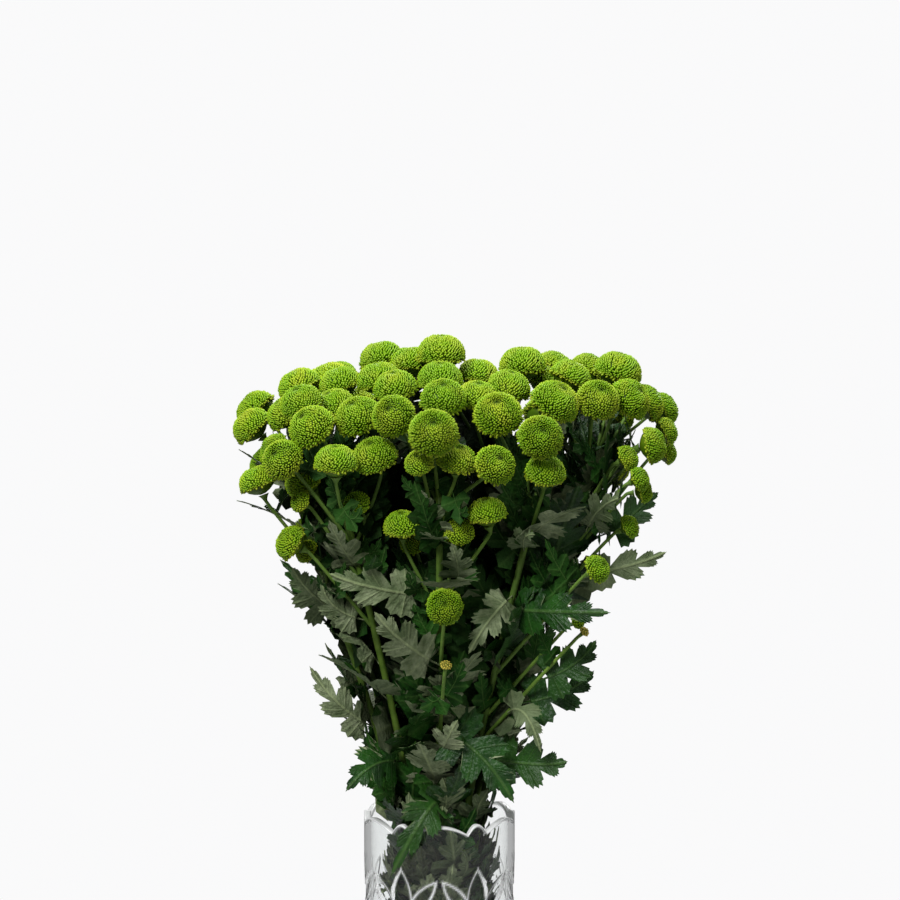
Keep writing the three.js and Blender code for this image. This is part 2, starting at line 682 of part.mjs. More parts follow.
function spraySolid(stem) {
  const own = routes.filter((route) => route.stem === stem && route.radius === STEM_RADIUS);
  const line = [own[0].from, ...own.map(({ to }) => to)];
  const radii = line.map((_, i) => STEM_RADIUS - STEM_TAPER * i / line.length);
  const bodies = [stalk(line, radii, STEM_SIDES)];
  for (const twig of twigs.filter((one) => one.stem === stem)) {
    const cup = Math.max(SMALLEST_CUP, CUP_RADIUS * twig.head.radius);
    bodies.push(stalk(twig.points, [...twig.points.slice(1).map(() => TWIG_RADIUS), cup], TWIG_SIDES));
  }
  for (const leaf of leaves.filter((one) => one.stem === stem)) bodies.push(leafSolid(leaf));
  return onePiece(join(bodies));
}

function bunchSolid(name) {
  const members = heads.filter((_, i) => bunch[i] === name);
  const bridges = links.filter(([i]) => bunch[i] === name).map(([i, j]) => bridge(heads[i], heads[j]));
  return onePiece(join([...members.map(headSolid), ...bridges]));
}

// Vase: distance from the middle of the nearest small arch in degrees
function fromArch(turn) {
  const period = 360 / REPEATS;
  const past = (((turn - FIRST_SMALL_ARCH) % period) + period) % period;
  return past > period / 2 ? past - period : past;
}

function rimHeight(turn) {
  const aside = Math.abs(fromArch(turn));
  const wide = 180 / REPEATS;
  const share = aside < SMALL_ARCH ? aside / SMALL_ARCH : (wide - aside) / (wide - SMALL_ARCH);
  return VASE_HEIGHT - SCALLOP_DEPTH * share ** 2;
}

function cutDepth(turn, height) {
  const aside = fromArch(turn);
  const depths = PETALS.map((petal) => {
    const across = radians(aside - petal.turn) * VASE_RADIUS;
    const up = height - petal.height;
    const lean = radians(petal.lean);
    const along = (up * Math.cos(lean) + across * Math.sin(lean)) / petal.length;
    const out = Math.abs(across * Math.cos(lean) - up * Math.sin(lean));
    const half = petal.width * (1 - along ** 2);
    return half > out ? CUT_DEPTH * (1 - out / half) : 0;
  });
  return Math.max(...depths);
}

function vaseSolid() {
  const turns = [];
  for (let i = 0; i < REPEATS; i += 1) {
    VASE_COLUMNS.forEach((column) => turns.push(FIRST_SMALL_ARCH + 360 * i / REPEATS + column));
  }
  const ring = (radius, height) => turns.map((turn) => {
    const out = radius(turn);
    return vector(out * Math.cos(radians(turn)), out * Math.sin(radians(turn)), height(turn));
  });
  const plain = (radius, height) => ring(() => radius, () => height);
  const rings = [
    plain(VASE_RADIUS - FOOT_BEVEL, 0),
    ...VASE_ROWS.map((height) => ring((turn) => VASE_RADIUS - cutDepth(turn, height), () => height)),
    ring(() => VASE_RADIUS, rimHeight),
    ring(() => VASE_RADIUS - WALL, rimHeight),
    plain(VASE_RADIUS - WALL, FLOOR + FLOOR_CURVE),
    plain(VASE_RADIUS - WALL - FLOOR_CURVE, FLOOR),
  ];
  return ringSolid(rings, vector(0, 0, 0), vector(0, 0, FLOOR));
}

function waterSolid() {
  const level = (radius, height) => Array.from({ length: WATER_SIDES }, (_, i) => {
    const turn = 2 * Math.PI * i / WATER_SIDES;
    return vector(radius * Math.cos(turn), radius * Math.sin(turn), height);
  });
  const side = VASE_RADIUS - WALL - WATER_GAP - WATER_INSET;
  const bottom = FLOOR + WATER_GAP;
  const rings = [
    level(side - FLOOR_CURVE, bottom),
    level(side, bottom + FLOOR_CURVE),
    level(side, WATER_LEVEL),
  ];
  const full = ringSolid(rings, vector(0, 0, bottom), vector(0, 0, WATER_LEVEL));
  const hole = STEM_RADIUS + WATER_GAP;
  const holes = stems.map((_, i) => stalk(
    [stemPoint(i, FLOOR - HOLE_OVER), stemPoint(i, WATER_LEVEL + HOLE_OVER)], [hole, hole], STEM_SIDES));
  return full.subtract(join(holes));
}

const material = (color, roughness, extra = {}) =>
  new THREE.MeshStandardMaterial({ color, roughness, metalness: 0, ...extra });

const number = (i) => String(i + 1).padStart(2, '0');

const bouquet = new THREE.Group();
bouquet.add(mesh('vase', vaseSolid(), material(0xe6edef, 0.05, { transparent: true, opacity: 0.35 })));
bouquet.add(mesh('water', waterSolid(), material(0xdfe9e6, 0.03, { transparent: true, opacity: 0.4 })));
stems.forEach((_, i) => bouquet.add(mesh(`spray_${number(i)}`, spraySolid(i), material(0x3d6428, 0.6))));
const names = [...new Set(bunch)];
names.filter((name) => heads[name].kind === 'head').forEach((name, i) => {
  bouquet.add(mesh(`heads_${number(i)}`, bunchSolid(name), material(0x86b41a, 0.7)));
});
names.filter((name) => heads[name].kind === 'bud').forEach((name, i) => {
  bouquet.add(mesh(`bud_${number(i)}`, bunchSolid(name), material(0xc9b32c, 0.7)));
});

export default bouquet;
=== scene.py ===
"""Looks for the green button chrysanthemums in their pressed glass vase.

The layout repeats the part's own rules in millimetres, with +Z up and the front towards -Y.
Every mesh is turned into metres when it is made.
"""
import math
from types import SimpleNamespace

import bpy
import numpy as np
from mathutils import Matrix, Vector


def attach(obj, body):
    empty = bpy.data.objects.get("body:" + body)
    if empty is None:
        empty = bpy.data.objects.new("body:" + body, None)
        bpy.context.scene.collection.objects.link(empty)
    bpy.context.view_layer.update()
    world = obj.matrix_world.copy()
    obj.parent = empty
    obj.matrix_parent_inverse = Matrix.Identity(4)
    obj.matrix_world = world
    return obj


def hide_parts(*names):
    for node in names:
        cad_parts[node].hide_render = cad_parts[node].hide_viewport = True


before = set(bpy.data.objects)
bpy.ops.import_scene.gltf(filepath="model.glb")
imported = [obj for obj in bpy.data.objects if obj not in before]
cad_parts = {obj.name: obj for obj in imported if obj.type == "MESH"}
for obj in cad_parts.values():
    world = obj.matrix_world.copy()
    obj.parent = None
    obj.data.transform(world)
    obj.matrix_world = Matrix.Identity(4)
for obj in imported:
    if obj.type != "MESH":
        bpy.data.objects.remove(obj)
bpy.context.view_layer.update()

METRES = 0.001

# The vase and its water, as in the part
VASE_HEIGHT = 225
VASE_RADIUS = 57
WALL = 5
FLOOR = 20
FLOOR_CURVE = 5
FOOT_BEVEL = 3
SCALLOP_DEPTH = 7
REPEATS = 6
FIRST_SMALL_ARCH = -60
SMALL_ARCH = 8
WATER_LEVEL = 118
WATER_GAP = 0.4
# Each petal cut: degrees from the small arch, height of its middle, half length, half width, lean
PETALS = [(0, 168, 24, 9, 0), (16, 170, 19, 6, 40), (-16, 170, 19, 6, -40)]
PETAL_DEPTH = 1.7
PETAL_WALL = 0.28
PETALS_TOP = 205
# Upright panes below the petals: degrees across, their two ends, how far they fade out at these
# and how deep the grooves between them are
PANE = 15
PANE_ENDS = (14, 132)
PANE_FADE = 6
GROOVE = 0.9

# The fan of stems, as in the part
FAN_FOOT = 28
FAN_STRAIGHT = 130
FAN_OPEN = 300
FAN_SLOPE = 0.43
FAN_FLAT = 0.74
STEM_FOOT = FLOOR + 0.4
STEM_RADIUS = 3.2
STEM_TAPER = 1
INNER_STEMS = 3
INNER_RING = 0.36
OUTER_STEMS = 9
OUTER_RING = 0.8
STEM_HEIGHTS = [STEM_FOOT, FAN_STRAIGHT, 215, FAN_OPEN]
LAST_STRETCH = 20

# Heads and their own stems, as in the part
HEAD_GAP = 1
PRESSED = 0.97
BUNCH_LIMIT = 4
BUNCHES = 45
# A head's usual lean in degrees at the bouquet's edge, and how it grows from the middle
RIM_LEAN = 64
LEAN_GROWTH = 1.4
SEAT = 0.62
SEAT_GAP = 0.4
DOME = 0.88
UNDERSIDE = 0.75
HEAD_DIMPLE = 0.76
CUP_HEIGHT = 6
CUP_RADIUS = 0.3
SMALLEST_CUP = 1.6
TWIG_RADIUS = 1.5
NECK_ROOM = 5
CLEAR = 1.2
FORK_LOWEST = 240
# How far a head's own stem forks below it, at least and for each millimetre to its side
FORK_DROP = 60
FORK_SLOPE = 1.5
# How far it runs straight at its two ends, as shares of its length, and the most at the head
TWIG_START = 0.35
TWIG_END = 0.4
TWIG_END_MOST = 30
SETTLE_ROUNDS = 150
BEND_ROUNDS = 80
STRAIGHTEN = 0.04
PUSH = 0.3
SIDE_PUSH = 0.4
HOME_PULL = 0.03

# Leaves, as in the part
LEAF_FOLD = 0.18
LEAF_ROOM = 7
HEAD_ROOM = 2.5
ROOT_ROOM = 16
# How far leaves stay off stems, off the glass above it, inside and outside, and off the water
OWN_STEM_ROOM = 1
STEM_ROOM = 2
GLASS_ROOM = (3, 3, 1.5)
WATER_ROOM = 4
BLADE_TESTS = [
    (0.25, [0]), (0.4, [-0.24, -0.12, 0, 0.12, 0.24]), (0.54, [-0.18, -0.09, 0, 0.09, 0.18]),
    (0.68, [-0.3, -0.2, -0.1, 0, 0.1, 0.2, 0.3]), (0.8, [-0.14, 0, 0.14]), (0.9, [0]), (1, [0]),
]
LEAF_HEIGHTS = [238, 272, 308, 350, 394, 436]
LEAF_REACH = (44, 60)
TWIG_LEAF_REACH = (28, 38)
TWIG_LEAF_EVERY = 12
# Leaves against the glass: how far out, lowest root, step from one stem to the next, rise of
# the bend and of the tip, and turn
VASE_LEAVES = (45, 143, 9, 26, 52, 8)
# How often each kind of leaf is tried before it is left out, and how far it is swayed in degrees
SEEN_TRIES = (60, 22)
VASE_TRIES = (8, 10)
STEM_TRIES = (10, 24)
TWIG_TRIES = (4, 40)

EYE_DISTANCE = 1700
EYE_HEIGHT = 605

# Heads that the picture shows: across, up, depth towards the viewer and width,
# then for some the lean from upright and the heading of that lean in degrees, 0 to the viewer
SEEN_HEADS = [
    [-140, 515, 10, 31, 45, -80], [-136, 472, 30, 29, 22, -90], [-104, 545, 0, 33, 28, -100],
    [-100, 533, 35, 31, 30, -40], [-75, 556, -30, 30], [-75, 546, 10, 32],
    [-43, 565, -15, 34], [-45, 550, 18, 33], [-32, 544, 48, 32],
    [-34, 524, 80, 31, 62, -20], [-61, 522, 70, 34], [-80, 530, 40, 32],
    [-95, 515, 68, 34], [-115, 524, 30, 30], [-128, 505, 42, 28, 75, -75],
    [-116, 492, 75, 30, 62, -30], [-100, 492, 38, 31], [-78, 488, 98, 31, 12, 0],
    [-48, 494, 66, 32], [-15, 488, 98, 21, 45, -20], [12, 490, 96, 28, 24, 15],
    [-4, 511, 106, 35, 56, 0], [3, 536, 75, 33], [0, 550, 45, 33],
    [2, 569, 5, 36, 8, 0], [-21, 562, -8, 32], [28, 554, 10, 30],
    [62, 561, -10, 35, 6, 0], [52, 544, 40, 32], [86, 559, -40, 30],
    [97, 552, -10, 32], [112, 557, -30, 30], [133, 557, 0, 36, 18, 70],
    [86, 533, 58, 36], [44, 524, 88, 35, 44, -5], [28, 537, 50, 30],
    [119, 535, 50, 32, 48, 15], [142, 536, 25, 32, 55, 50], [155, 533, -10, 30],
    [167, 528, -30, 27], [76, 507, 106, 32, 64, 8], [78, 484, 84, 29, 26, 10],
    [43, 486, 112, 29, 60, 22], [159, 503, 22, 27, 78, 80], [169, 511, -10, 22],
    [170, 496, -12, 20, 70, 95], [139, 492, 40, 19], [148, 478, 44, 18],
    [152, 467, 32, 18, 78, 85], [142, 440, 30, 18], [118, 408, 70, 21, 60, 55],
    [104, 368, 60, 11], [37, 450, 84, 28, 14, -30], [14, 436, 72, 22],
    [4, 380, 96, 26, 74, 0], [-29, 439, 100, 27, 20, -10], [-24, 421, 76, 20],
    [-62, 457, 72, 20], [-104, 459, 70, 15], [-111, 428, 58, 26, 60, -75],
    [-99, 421, 42, 18],
]

# Closed yellow buds, in the same measures
SEEN_BUDS = [[5, 335, 84, 8, 25, 20], [109, 361, 62, 7, 50, 60]]

# Leaves that the picture shows: where the leaf leaves its stem, how it bends, its tip,
# all as across, up and depth, then 1 for the upper face to the viewer or -1 for the underside,
# and how wide it is to a flat leaf
SEEN_LEAVES = [
    ([-22, 330, 62], [-32, 352, 92], [-49, 376, 96], -1, 0.7),
    ([-26, 380, 60], [-55, 392, 84], [-83, 405, 82], -1, 0.65),
    ([-74, 355, 40], [-88, 376, 58], [-88, 401, 62], -1, 0.8),
    ([-82, 368, 30], [-100, 388, 46], [-111, 410, 48], -1, 1),
    ([-6, 421, 50], [-8, 446, 60], [-16, 473, 58], -1, 1),
    ([19, 395, 66], [16, 410, 88], [9, 428, 92], -1, 1),
    ([62, 372, 56], [98, 378, 82], [138, 379, 78], 1, 0.62),
    ([120, 383, 24], [145, 402, 44], [169, 413, 40], -1, 0.62),
    ([130, 430, 10], [152, 445, 18], [171, 457, 10], 1, 0.75),
    ([84, 318, 40], [104, 334, 62], [117, 356, 60], 1, 1),
    ([76, 296, 30], [100, 306, 52], [118, 325, 48], 1, 1),
    ([50, 258, 36], [80, 256, 52], [97, 262, 50], 1, 1),
    ([-8, 262, 40], [4, 276, 62], [14, 294, 66], -1, 1),
    ([9, 286, 42], [28, 282, 66], [50, 237, 72], 1, 1),
    ([-30, 258, 34], [-50, 268, 62], [-71, 239, 62], 1, 1),
    ([-5, 226, 34], [-4, 240, 72], [-37, 174, 58], 1, 0.6),
    ([44, 300, 44], [66, 312, 66], [77, 268, 62], -1, 0.75),
    ([-60, 282, 20], [-78, 300, 30], [-98, 335, 22], -1, 0.65),
    ([55, 385, 60], [36, 372, 86], [22, 344, 82], -1, 0.62),
    ([50, 423, 60], [60, 436, 82], [72, 434, 84], -1, 1),
    ([102, 438, 30], [118, 458, 52], [137, 462, 54], -1, 1),
]

# Heads round the back, in rows: how many, their height, reach across and reach back, and width
BACK_ROWS = [(4, 552, 88, 52, 35), (8, 522, 140, 92, 35), (7, 482, 138, 118, 33),
             (4, 432, 112, 104, 29), (2, 384, 60, 96, 25)]

# Further small leaves of the scene's own: how many leave the stems between two heights
VASE_FILL = (150, 124, 218)
SMALL_LEAVES = (100, 228, 470)
INNER_LEAVES = (340, 205, 480)
INNER_EACH_TWIG = 3
# The tries and sway of each kind, and its room to other leaves and to heads. Those with no room to
# other leaves may cross them, deep in the bouquet
FILL_TRIES = (10, 30, 1.5, 2)
SMALL_TRIES = (12, 60, 2.5, 2)
INNER_TRIES = (12, 60, None, 1.5)
INNER_TWIG_TRIES = (14, 80, None, 1.5)
# Leaves in the vase get painted shade: light this far out, and darker over so many millimetres further in
LIGHT_OUT = 45
DARK_OVER = 9
# Painted shade: deep in the bouquet, as a share of the fan's width, colours grow dark, and less so in the
# vase
LIGHT_FROM = 0.95
DARK_FROM = 0.35
VASE_SHADE = 0.4

# Florets for each square millimetre of a head's radius squared, their widest place from its axis
# in degrees, and how much closer they stand at its middle
FLORETS_PER_RADIUS = 2.5
FLORETS_WIDEST = 114
FLORETS_CROWDING = 1.25
GOLDEN = math.pi * (3 - math.sqrt(5))
# A floret's root, belly, shoulder and tip: the way towards the head's middle in florets, and how
# far out. Then the width and depth of its belly and shoulder, and its faces
FLORET = [(0.2, 0.62), (0.75, 0.90), (0.30, 0.965), (-0.30, 1.02)]
FLORET_GIRTHS = [(0.58, 0.50), (0.44, 0.42)]
FLORET_FACES = [[0, 2, 1], [0, 3, 2], [0, 1, 3], [1, 2, 5], [1, 5, 4], [2, 3, 6],
                [2, 6, 5], [3, 1, 4], [3, 4, 6], [4, 5, 7], [5, 6, 7], [6, 4, 7]]
# Plain cores under the florets: radius and height, as shares of the head's radius
CORES = {
    "head": [(0.16, -0.6), (0.42, -0.5), (0.68, -0.34), (0.80, -0.12), (0.84, 0.1), (0.76, 0.36),
             (0.56, 0.58), (0.28, 0.66), (0.08, 0.62)],
    "bud": [(0.3, -0.62), (0.62, -0.4), (0.8, 0), (0.6, 0.45), (0.2, 0.62)],
}
# A leaf's side lobes: start and end of the base along the rib, the way the middle points from
# the rib in degrees, how far the edges fan out to each side of that, and the lobe's length
LEAF_LOBES = [(0.14, 0.24, 86, 22, 0.37), (0.36, 0.46, 55, 13, 0.36), (0.62, 0.70, 43, 11, 0.225)]
# The bays between lobes: place along the rib, direction and depth that stays
LEAF_BAYS = [(0.30, 70, 0.08), (0.55, 58, 0.085), (0.77, 50, 0.075)]
LEAF_STALK = [(0, 90, 0.014), (0.08, 90, 0.013), (0.14, 90, 0.016)]
LEAF_TIP = (0.80, 32, 0.14)
LEAF_THICK = 0.28
LEAF_WAVE = 0.05
LEAF_DROOP = 0.07
LEAF_PLEAT = 0.024
RIB_HEIGHT = 0.35
RIB_WIDTH = 0.9
RIM_CURVE = 1.2
# How finely a leaf is made: steps to each side of a lobe, and columns across the leaf
LARGE = (4, [-1, -0.7, -0.35, 0, 0.35, 0.7, 1])
SMALL = (2, [-1, -0.5, 0, 0.5, 1])
INNER = (1, [-1, 0, 1])

STUDIO = (0.955, 0.955, 0.96, 1)
# How bright the studio is to surfaces that reflect it, after a reflection within the glass, and
# to surfaces that it lights
STUDIO_SHARES = {"Is Reflection Ray": 0.14, "Glossy Depth": 0.5, "Diffuse Depth": 0.22}

state = SimpleNamespace(seed=20261)


def draw(low, high):
    """The same seeded draws as in the part."""
    state.seed = (state.seed * 16807) % 2147483647
    return low + (high - low) * state.seed / 2147483647


def vector(x, y, z):
    return np.array([x, y, z], dtype=float)


def size(v):
    return np.linalg.norm(v, axis=-1)


def unit(v):
    length = size(v)[..., None]
    return v / np.where(length == 0, 1, length)


def turned(v, degrees):
    """A vector turned about the upright."""
    c, s = math.cos(math.radians(degrees)), math.sin(math.radians(degrees))
    return vector(c * v[0] - s * v[1], s * v[0] + c * v[1], v[2])


def placed(across, up, depth):
    """A place in the picture at a depth, as a real place."""
    closer = (EYE_DISTANCE - depth) / EYE_DISTANCE
    return vector(across * closer, -depth, EYE_HEIGHT + (up - EYE_HEIGHT) * closer)


def leaning(lean, heading):
    """A direction that leans from upright towards a heading, 0 to the viewer and 90 to the right."""
    side = math.sin(math.radians(lean))
    turn = math.radians(heading)
    return vector(side * math.sin(turn), -side * math.cos(turn), math.cos(math.radians(lean)))


def fan_width(height):
    over = max(0, min(height, FAN_OPEN) - FAN_STRAIGHT)
    curved = FAN_SLOPE * over * over / (2 * (FAN_OPEN - FAN_STRAIGHT))
    return FAN_FOOT + curved + FAN_SLOPE * max(0, height - FAN_OPEN)


def in_fan(place, height):
    width = fan_width(height)
    return vector(place[0] * width, place[1] * FAN_FLAT * width, height)


def fan_place(point):
    width = fan_width(point[2])
    return point[0] / width, point[1] / (FAN_FLAT * width)


def head(place, width, lean=None, heading=None, kind="head"):
    u, v = fan_place(place)
    rim = min(1, math.hypot(u, v))
    if lean is None:
        lean, heading = RIM_LEAN * rim ** LEAN_GROWTH, math.degrees(math.atan2(u, -v))
    return SimpleNamespace(kind=kind, place=place, radius=width / 2, axis=leaning(lean, heading))


def all_heads():
    heads = [head(placed(*row[:3]), row[3], *row[4:]) for row in SEEN_HEADS]
    for count, height, across, back, width in BACK_ROWS:
        for i in range(count):
            turn = math.radians(180 * (i + 0.5) / count + draw(-6, 6))
            place = vector(across * math.cos(turn), back * math.sin(turn), height + draw(-8, 8))
            heads.append(head(place, width * draw(0.85, 1.12)))
    return heads + [head(placed(*row[:3]), *row[3:], kind="bud") for row in SEEN_BUDS]


def settle(place, home, radius, axis, linked):
    """Heads push each other clear, mostly in depth, and linked heads draw together."""
    touching = radius[:, None] + radius[None, :]
    wanted = np.where(linked, PRESSED * touching, touching + HEAD_GAP)
    other = ~np.eye(len(radius), dtype=bool)
    for _ in range(SETTLE_ROUNDS):
        apart = place[None, :, :] - place[:, None, :]
        short = wanted - size(apart)
        push = np.where(((short > 0) | linked) & other, PUSH * short, 0)
        way = unit(apart * [SIDE_PUSH, 1, SIDE_PUSH])
        moves = -(push[..., None] * way).sum(axis=1)
        neck = place - axis * (radius + CUP_HEIGHT)[:, None]
        away = place[None, :, :] - neck[:, None, :]
        short = radius[None, :] + NECK_ROOM - size(away)
        push = np.where((short > 0) & other, PUSH * short, 0)
        moves += (push[..., None] * unit(away)).sum(axis=0)
        place = place + moves
        for way in (0, 2):
            place[:, way] += HOME_PULL * (home[:, way] - place[:, way])
    return place


def bunches_of(heads, place, radius):
    """Neighbours are joined in bunches, the nearest first."""
    bunch = list(range(len(heads)))
    pairs = []
    for i in range(len(heads)):
        for j in range(i + 1, len(heads)):
            pairs.append((size(place[i] - place[j]) - radius[i] - radius[j], i, j))
    pairs.sort(key=lambda pair: pair[0])
    links = []
    count = len(heads)
    for _, i, j in pairs:
        members = bunch.count(bunch[i]) + (bunch.count(bunch[j]) if bunch[i] != bunch[j] else 0)
        is_open = heads[i].kind == "head" and heads[j].kind == "head"
        if is_open and count > BUNCHES and bunch[i] != bunch[j] and members <= BUNCH_LIMIT:
            old = bunch[j]
            bunch = [bunch[i] if one == old else one for one in bunch]
            links.append((i, j))
            count -= 1
    return bunch, links


def lay_out_heads():
    heads = all_heads()
    home = np.array([one.place for one in heads])
    radius = np.array([one.radius for one in heads])
    axis = np.array([one.axis for one in heads])
    linked = np.zeros((len(heads), len(heads)), dtype=bool)
    place = settle(home, home, radius, axis, linked)
    bunch, links = bunches_of(heads, place, radius)
    for i, j in links:
        linked[i, j] = linked[j, i] = True
    place = settle(place, home, radius, axis, linked)
    for one, found in zip(heads, place):
        one.place = found
    return heads, bunch


def stem_places():
    def ring(count, out, start):
        turns = [math.radians(start + 360 * i / count) for i in range(count)]
        return [(out * math.cos(turn), out * math.sin(turn)) for turn in turns]
    return ring(OUTER_STEMS, OUTER_RING, -90) + ring(INNER_STEMS, INNER_RING, 90)


def bezier(points, t):
    """A point on a Bezier curve through its first and last control points."""
    points = [np.array(point) for point in points]
    while len(points) > 1:
        points = [(1 - t) * a + t * b for a, b in zip(points, points[1:])]
    return points[0]


def twig_route(one, stem):
    """The route of a head's own stem: out of its main stem and round to the head's underside."""
    seat = one.place - one.axis * (SEAT * one.radius + SEAT_GAP)
    aside = size(in_fan(stem, seat[2]) - seat)
    fork = max(FORK_LOWEST, min(seat[2] - FORK_DROP, seat[2] - FORK_SLOPE * aside))
    root = in_fan(stem, fork)
    upwards = unit(in_fan(stem, fork + 1) - root)
    length = size(root - seat)
    last = min(TWIG_END_MOST, TWIG_END * length)
    control = [root, root + upwards * TWIG_START * length, seat - one.axis * last, seat]
    return fork, np.array([bezier(control, 0), bezier(control, 0.5), seat - one.axis * CUP_HEIGHT, seat])


def nearest_on_lines(points, start, end):
    """For every point and every line, how far along the line the nearest place is, and that place."""
    along = end - start
    t = ((points[:, None, :] - start[None]) * along).sum(axis=-1) / (along ** 2).sum(axis=-1)
    t = np.clip(t, 0, 1)
    return t, start + t[..., None] * along


def bend_twigs(twigs, place, radius):
    """Each twig's middle is bent clear of the heads that aren't its own."""
    for _ in range(BEND_ROUNDS):
        for number, twig in enumerate(twigs):
            move = np.zeros(3)
            for i in (0, 1):
                t, at = nearest_on_lines(place, twig.points[i][None], twig.points[i + 1][None])
                away = at[:, 0] - place
                short = radius + TWIG_RADIUS + CLEAR - size(away)
                share = t[:, 0] if i == 0 else 1 - t[:, 0]
                push = np.where(short > 0, 0.5 * short * share, 0)
                push[number] = 0
                move += (unit(away) * push[:, None]).sum(axis=0)
            middle = (twig.points[0] + twig.points[2]) / 2
            twig.points[1] += move + STRAIGHTEN * (middle - twig.points[1])


def lay_out_twigs(plan):
    twigs = []
    for one in plan.heads:
        u, v = fan_place(one.place)
        stem = int(np.argmin([math.hypot(a - u, b - v) for a, b in plan.stems]))
        fork, points = twig_route(one, plan.stems[stem])
        twigs.append(SimpleNamespace(head=one, stem=stem, fork=fork, points=points))
    bend_twigs(twigs, plan.head_places, plan.head_radii)
    return twigs


def lay_out_routes(stems, twigs):
    """Every straight stretch of stem and twig, as the part has them."""
    rows = []
    lines = []
    for i, stem in enumerate(stems):
        top = max(twig.fork for twig in twigs if twig.stem == i)
        heights = [height for height in STEM_HEIGHTS if height < top - LAST_STRETCH] + [top]
        line = [in_fan(stem, height) for height in heights]
        lines.append(line)
        rows += [(i, a, b, STEM_RADIUS) for a, b in zip(line, line[1:])]
    for twig in twigs:
        rows += [(twig.stem, a, b, TWIG_RADIUS) for a, b in zip(twig.points, twig.points[1:])]
    stem, start, end, radius = (np.array(column) for column in zip(*rows))
    return SimpleNamespace(stem=stem, start=start, end=end, radius=radius), lines


def new_leaf(stem, root, bend, tip, up, detail=LARGE, wide=1, shade=0):
    """A leaf on a stem: its rib over three points, the way its upper face looks, how finely it is
    made, how wide it is to a flat one and how dark its painted shade is."""
    return SimpleNamespace(
        stem=stem, root=root, bend=bend, tip=tip, up=up, detail=detail, wide=wide, shade=shade)


def rib_length(leaf):
    return (size(leaf.root - leaf.bend) + size(leaf.bend - leaf.tip) + size(leaf.root - leaf.tip)) / 2


def blade(leaf, along, out, lift):
    """Real places on a leaf: along its rib, out to the side and lifted off the blade."""
    along, out, lift = (np.asarray(value, dtype=float) for value in np.broadcast_arrays(along, out, lift))
    length = rib_length(leaf)

    def rib(t):
        t = np.clip(t, 0, 1)[..., None]
        return (1 - t) ** 2 * leaf.root + 2 * (1 - t) * t * leaf.bend + t * t * leaf.tip
    ahead = unit(rib(along + 0.0001) - rib(along - 0.0001))
    up = unit(leaf.up - (ahead @ leaf.up)[..., None] * ahead)
    side = np.cross(ahead, up)
    raised = LEAF_FOLD * np.abs(out) * length + lift
    return rib(along) + side * (out * length)[..., None] + up * raised[..., None]


def blade_points(leaf):
    return np.array([blade(leaf, along, out, 0) for along, outs in BLADE_TESTS for out in outs])


def is_clear(leaf, plan, room, head_room):
    """The leaf keeps off every head, the other sprays' stems and leaves, the glass and the water."""
    points = blade_points(leaf)
    out = np.hypot(points[:, 0], points[:, 1])
    over, inner, outer = GLASS_ROOM
    low = points[:, 2] < VASE_HEIGHT + over
    if np.any(low & (out > VASE_RADIUS - WALL - inner) & (out < VASE_RADIUS + outer)):
        return False
    if np.any(points[:, 2] < WATER_LEVEL + WATER_ROOM):
        return False
    if np.any(size(points[:, None] - plan.head_places) < plan.head_radii + head_room):
        return False
    own_root = (size(points - leaf.root) < ROOT_ROOM)[:, None]
    own = (plan.routes.stem == leaf.stem)[None, :]
    _, at = nearest_on_lines(points, plan.routes.start, plan.routes.end)
    off = size(at - points[:, None])
    if np.any(~(own & own_root) & (off < plan.routes.radius + np.where(own, OWN_STEM_ROOM, STEM_ROOM))):
        return False
    if room is None or not plan.leaves:
        return True
    reach = 2 * LEAF_REACH[1] + 20
    near = size(np.array([other.root for other, _ in plan.leaves]) - leaf.root) < reach
    return not any(np.any(size(points[:, None] - plan.leaves[i][1]) <= room) for i in np.flatnonzero(near))


def settle_leaf(leaf, plan, tries, sway, room=LEAF_ROOM, head_room=HEAD_ROOM):
    """Tries a leaf as given and then a little turned, and keeps the first that is clear."""
    for attempt in range(tries):
        turn = 0 if attempt == 0 else draw(-sway, sway)
        lift = 0 if attempt == 0 else draw(-sway, sway)
        bend, tip = (leaf.root + turned(point - leaf.root, turn) + vector(0, 0, lift / 2)
                     for point in (leaf.bend, leaf.tip))
        tried = SimpleNamespace(**{**vars(leaf), "bend": bend, "tip": tip})
        if is_clear(tried, plan, room, head_room):
            plan.leaves.append((tried, blade_points(tried)))
            return


def outwards(point, turn):
    return turned(unit(vector(point[0], point[1] / FAN_FLAT ** 2, 0)), turn)


def seen_leaf(row, plan):
    start, over, tip, face, wide = row
    _, at = nearest_on_lines(placed(*start)[None], plan.routes.start, plan.routes.end)
    found = int(np.argmin(size(at[0] - placed(*start))))
    end = placed(*tip)
    up = unit(vector(0, -EYE_DISTANCE, EYE_HEIGHT) - end) * face
    return new_leaf(plan.routes.stem[found], at[0, found], placed(*over), end, up, wide=wide)


def rising_leaf(stem, root, turn, rise, reach, detail=LARGE):
    away = outwards(root, turn)
    bend = root + away * 0.5 * reach + vector(0, 0, (0.5 * rise + 0.12) * reach)
    tip = root + away * reach + vector(0, 0, rise * reach)
    return new_leaf(stem, root, bend, tip, vector(0, 0, 1) - 0.4 * away, detail)


def vase_leaf(plan, stem):
    out, lowest, step, bend_rise, tip_rise, turn = VASE_LEAVES
    height = lowest + step * (stem % 3)
    root = in_fan(plan.stems[stem], height)
    away = outwards(root, turn)
    bend = vector(0, 0, height + bend_rise) + away * (out - 2)
    tip = vector(0, 0, height + tip_rise) + outwards(root, turn * 1.6) * out
    return new_leaf(stem, root, bend, tip, -away)


